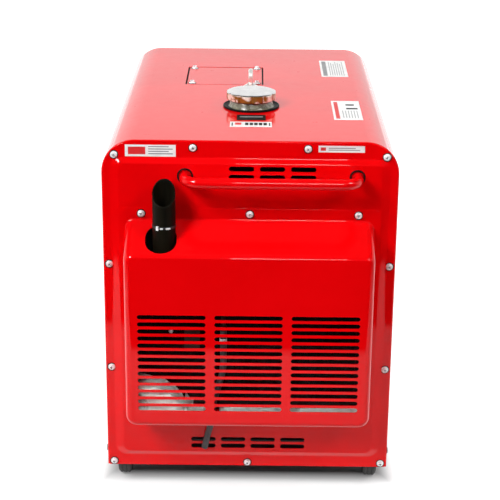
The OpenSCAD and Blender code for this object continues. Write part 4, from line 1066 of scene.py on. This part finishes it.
def make_access_plate(plate_screws):
    """The plate, set a little below the skin round it so that its gap reads as a line."""
    top = Z_TOP - PLATE_DROP
    outline = plate_outline(0.0758, 0.0778, 0.004)
    bm = loft([[(u, v, z) for u, v in outline] for z in (Z_TOP - SHEET + 0.00002, top)], cap_first=True)
    bmesh.ops.recalc_face_normals(bm, faces=bm.faces)
    cut = bmesh.new()
    for at in plate_screws:
        add_prism(cut, [(at.x + dx, dy) for dx, dy in disc(0, at.y, 0.0028, 16)], top - 0.01, top + 0.01)
    # the prisms run along Y: turn them to run along Z
    for v in cut.verts:
        v.co = Vector((v.co.x, v.co.z, v.co.y))
    bmesh.ops.recalc_face_normals(cut, faces=cut.faces)
    piece("access_plate_sheet", cut_with(bm, cut), "red_paint", "access_plate", bevel=0.0003)


make_access_plate(make_screws())


# ---------- meter dial ----------

def make_meter_dial():
    """Plain dial of the meter: scale marks, a needle and a hub over the needle's pivot."""
    low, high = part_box("voltmeter")
    cx, cz, y = (low[0] + high[0]) / 2, (low[2] + high[2]) / 2, high[1]
    half = (high[0] - low[0]) / 2

    def solid(name, outlines, y0, y1, look):
        bm = bmesh.new()
        for outline in outlines:
            add_prism(bm, outline, y0, y1)
        bmesh.ops.recalc_face_normals(bm, faces=bm.faces)
        piece(name, bm, None, looks=(look,), bevel=0.0001, segments=1)

    def bar(angle, r0, r1, wide):
        u, w = Vector((math.cos(angle), math.sin(angle))), Vector((-math.sin(angle), math.cos(angle))) * wide / 2
        pivot = Vector((cx, cz - half * 0.42))
        return [tuple(pivot + u * r + w * k) for r, k in ((r0, -1), (r1, -1), (r1, 1), (r0, 1))]

    ticks = [bar(math.radians(40 + 10 * k), half * 0.90, half * (1.06 if k % 2 == 0 else 1.0), half * 0.035)
             for k in range(11)]
    solid("meter_marks", ticks, y + 0.00002, y + 0.0003, "ink_dark")
    solid("meter_needle", [bar(math.radians(118), 0.0, half * 0.96, half * 0.045)], y + 0.0004, y + 0.0009, "ink_red")
    hub = round_rect(cx - half * 0.86, cx + half * 0.86, cz - half * 0.84, cz - half * 0.30, 0.002, 0.002, 4)
    solid("meter_hub", [hub], y + 0.00002, y + 0.0016, "black_plastic")


make_meter_dial()


# ---------- the rest of the CAD nodes ----------

# edge rounding of the CAD nodes that stay in view; flat sheets with slots have none, because a
# bevel leaves long creases in their shading
BEVELS = {node: width for width, nodes in (
    (0.0004, "front_handle rear_handle terminals"),
    (0.0005, "left_side_panel control_end_panel castor_brackets control_plate left_rear_fork right_rear_fork"),
    (0.0006, "side_screws base_frame cylinder start_key door_latch left_front_wheel right_front_wheel "
            "left_rear_wheel right_rear_wheel dc_button"),
    (0.0007, "top_cover"),
    (0.0008, "cylinder_head socket socket_lid fan_housing dipstick"),
    (0.001, "muffler voltmeter breaker breaker_toggle lifting_bracket starter_motor rubber_mounts stator "
            "end_bell injection_pump exhaust_elbow"),
    (0.0015, "crankcase door_foam"),
    (0.002, "fuel_tank battery air_filter rocker_cover"),
) for node in nodes.split()}
GREY_ZINC = ("door_hinge", "castor_brackets", "left_rear_fork", "right_rear_fork")


def dress_nodes():
    slots = {s["node"]: s["material_slot"] for s in frame["record"]["subparts"]}
    for name, o in NODES.items():
        o.data.materials.clear()
        o.data.materials.append(MATERIALS["dull_zinc"] if name in GREY_ZINC else MATERIALS[slots[name]])
        if not o.hide_render:
            soften(o, BEVELS.get(name, 0.0), weld=True)


dress_nodes()


# ---------- stage and light ----------

# the lit floor's front edge, the near strip's far edge, the sides, and where it opens out to its full width;
# then the reach of the whole stage
FRONT_EDGE, NEAR_EDGE, SIDE_EDGE, BACK_EDGE = -1.18, -0.45, 1.35, 0.1
FAR = 20
RAYS = ("camera", "diffuse", "glossy", "transmission", "volume_scatter", "shadow")


def ground(x0, x1, y0, y1, z=0):
    return (x0, y0, z), (x1, y0, z), (x1, y1, z), (x0, y1, z)


def wall(x0, y0, x1, y1, top):
    return (x0, y0, 0), (x1, y1, 0), (x1, y1, top), (x0, y0, top)


def quads(name, corners, material, seen_by):
    """Flat panels of the stage, visible only to the named kinds of ray."""
    bm = bmesh.new()
    for quad in corners:
        bm.faces.new([bm.verts.new(p) for p in quad])
    o = to_object(bm, name)
    o.data.materials.append(material)
    for kind in RAYS:
        setattr(o, "visible_" + kind, kind in seen_by)
    return o


def graded(f, axis, start, end, low, high):
    """White glow that changes along one axis of the stage."""
    return f.glow(f.spread(f.axis(axis), start, end, low, high, "SMOOTHSTEP"))


def floor_glow(f):
    """Glow of the lit floor: none under the machine, some round it, most behind it."""
    start, end = -1.3, 0.7

    def profile(*stops):
        return f.ramp(along, *(((y - start) / (end - start), glow, glow, glow) for y, glow in stops))

    along = f.spread(f.axis("Y"), start, end)
    beside = f.spread(f.math("ABSOLUTE", f.axis("X")), 0.250, 0.300, kind="SMOOTHSTEP")
    front = ((FRONT_EDGE, 0.22), (-0.75, 0.16), (NEAR_EDGE - 0.0005, 0.04))
    middle = profile(*front, (NEAR_EDGE + 0.0005, 0.64), (-0.360, 0.64), (-0.31, 0.0), (-0.20, 0.0), (0.10, 0.35),
                     (0.55, 0.92))
    sides = profile(*front, (NEAR_EDGE + 0.0005, 0.90), (0.60, 0.92))
    return f.glow(f.math("MAXIMUM", middle, f.math("MULTIPLY", beside, sides)))


def dark(name):
    f = Finish(name, 1.0, Specular_IOR_Level=0.0)
    f.colour(f.noise(3, 2), (0.0, 0.0, 0.0), (0.004, 0.004, 0.004))
    return f


def make_stage():
    """White floor lit round the machine, with a dark room in front of it and above it."""
    f = Finish("studio_floor", 0.55)
    f.colour(f.noise(1.5, 4), (0.50, 0.50, 0.50), (0.52, 0.52, 0.52))
    f.roughness(f.noise(5, 4), 0.5, 0.62)
    glow = floor_glow(f)
    near_strip = ground(-SIDE_EDGE, SIDE_EDGE, FRONT_EDGE, NEAR_EDGE)
    lit = quads("studio_floor", [ground(-SIDE_EDGE, SIDE_EDGE, NEAR_EDGE, BACK_EDGE),
                                 ground(-FAR, FAR, BACK_EDGE, FAR)], glow, RAYS)
    lit_front = quads("studio_floor_front", [near_strip], glow, ("diffuse", "glossy"))
    before = ground(-FAR, FAR, -FAR, FRONT_EDGE)
    beside = [ground(-FAR, -SIDE_EDGE, FRONT_EDGE, BACK_EDGE), ground(SIDE_EDGE, FAR, FRONT_EDGE, BACK_EDGE)]
    f = Finish("outer_floor", 0.6)
    f.colour(f.noise(1.5, 4), (0.2, 0.2, 0.2), (0.22, 0.22, 0.22))
    outer = quads("outer_floor", [before, *beside, near_strip], graded(f, "Y", -9, 9, 0.98, 1.0), ("camera",))
    unseen = ("diffuse", "glossy")
    front = quads("dark_floor_front", [before],
                  graded(dark("dark_card"), "Y", FRONT_EDGE - 0.05, FRONT_EDGE, 0.0, 0.7), unseen)
    sides = quads("dark_floor_sides", beside, graded(dark("dark_card_sides"), "Y", -1.2, 0.1, 0.0, 0.9), unseen)
    x, y0, y1, top = 8, -7, 8, 5
    walls = quads("dark_walls",
                  [wall(-x, y0, x, y0, top), wall(-x, y0, -x, 0, top), wall(x, y0, x, 0, top)],
                  graded(dark("dark_wall"), "Y", -4.5, -0.5, 0.03, 0.9), unseen)
    ceiling = quads("dark_ceiling", [ground(-x, x, y0, y1, top)],
                    graded(dark("dark_ceiling"), "Y", 3.0, 8.0, 0.04, 0.9), unseen)
    world = bpy.data.worlds.new("studio")
    bpy.context.scene.world = world
    world.use_nodes = True
    sky = world.node_tree.nodes["Background"]
    sky.inputs["Color"].default_value = (1, 1, 1, 1)
    sky.inputs["Strength"].default_value = 0.92
    for name, at, size, power, glossy in (
        ("key", (-2.2, -2.5, 2.9), 1.15, 132, True),
        ("fill", (1.9, -1.75, 2.45), 0.7, 30, True),
        ("front", (0.15, -3.1, 2.25), 0.45, 10, True),
        ("overhead", (-0.2, -0.1, 3.2), 2.0, 22, False),
        ("rear", (1.2, 2.6, 2.4), 1.4, 26, False),
    ):
        data = bpy.data.lights.new(name, "AREA")
        data.shape, data.size, data.energy = "SQUARE", size, power
        o = bpy.data.objects.new(name, data)
        o.visible_glossy = glossy
        o.location = at
        o.rotation_mode = "QUATERNION"
        o.rotation_quaternion = (Vector((0, 0, 0.4)) - Vector(at)).to_track_quat("-Z", "Y")
        bpy.context.scene.collection.objects.link(o)


make_stage()
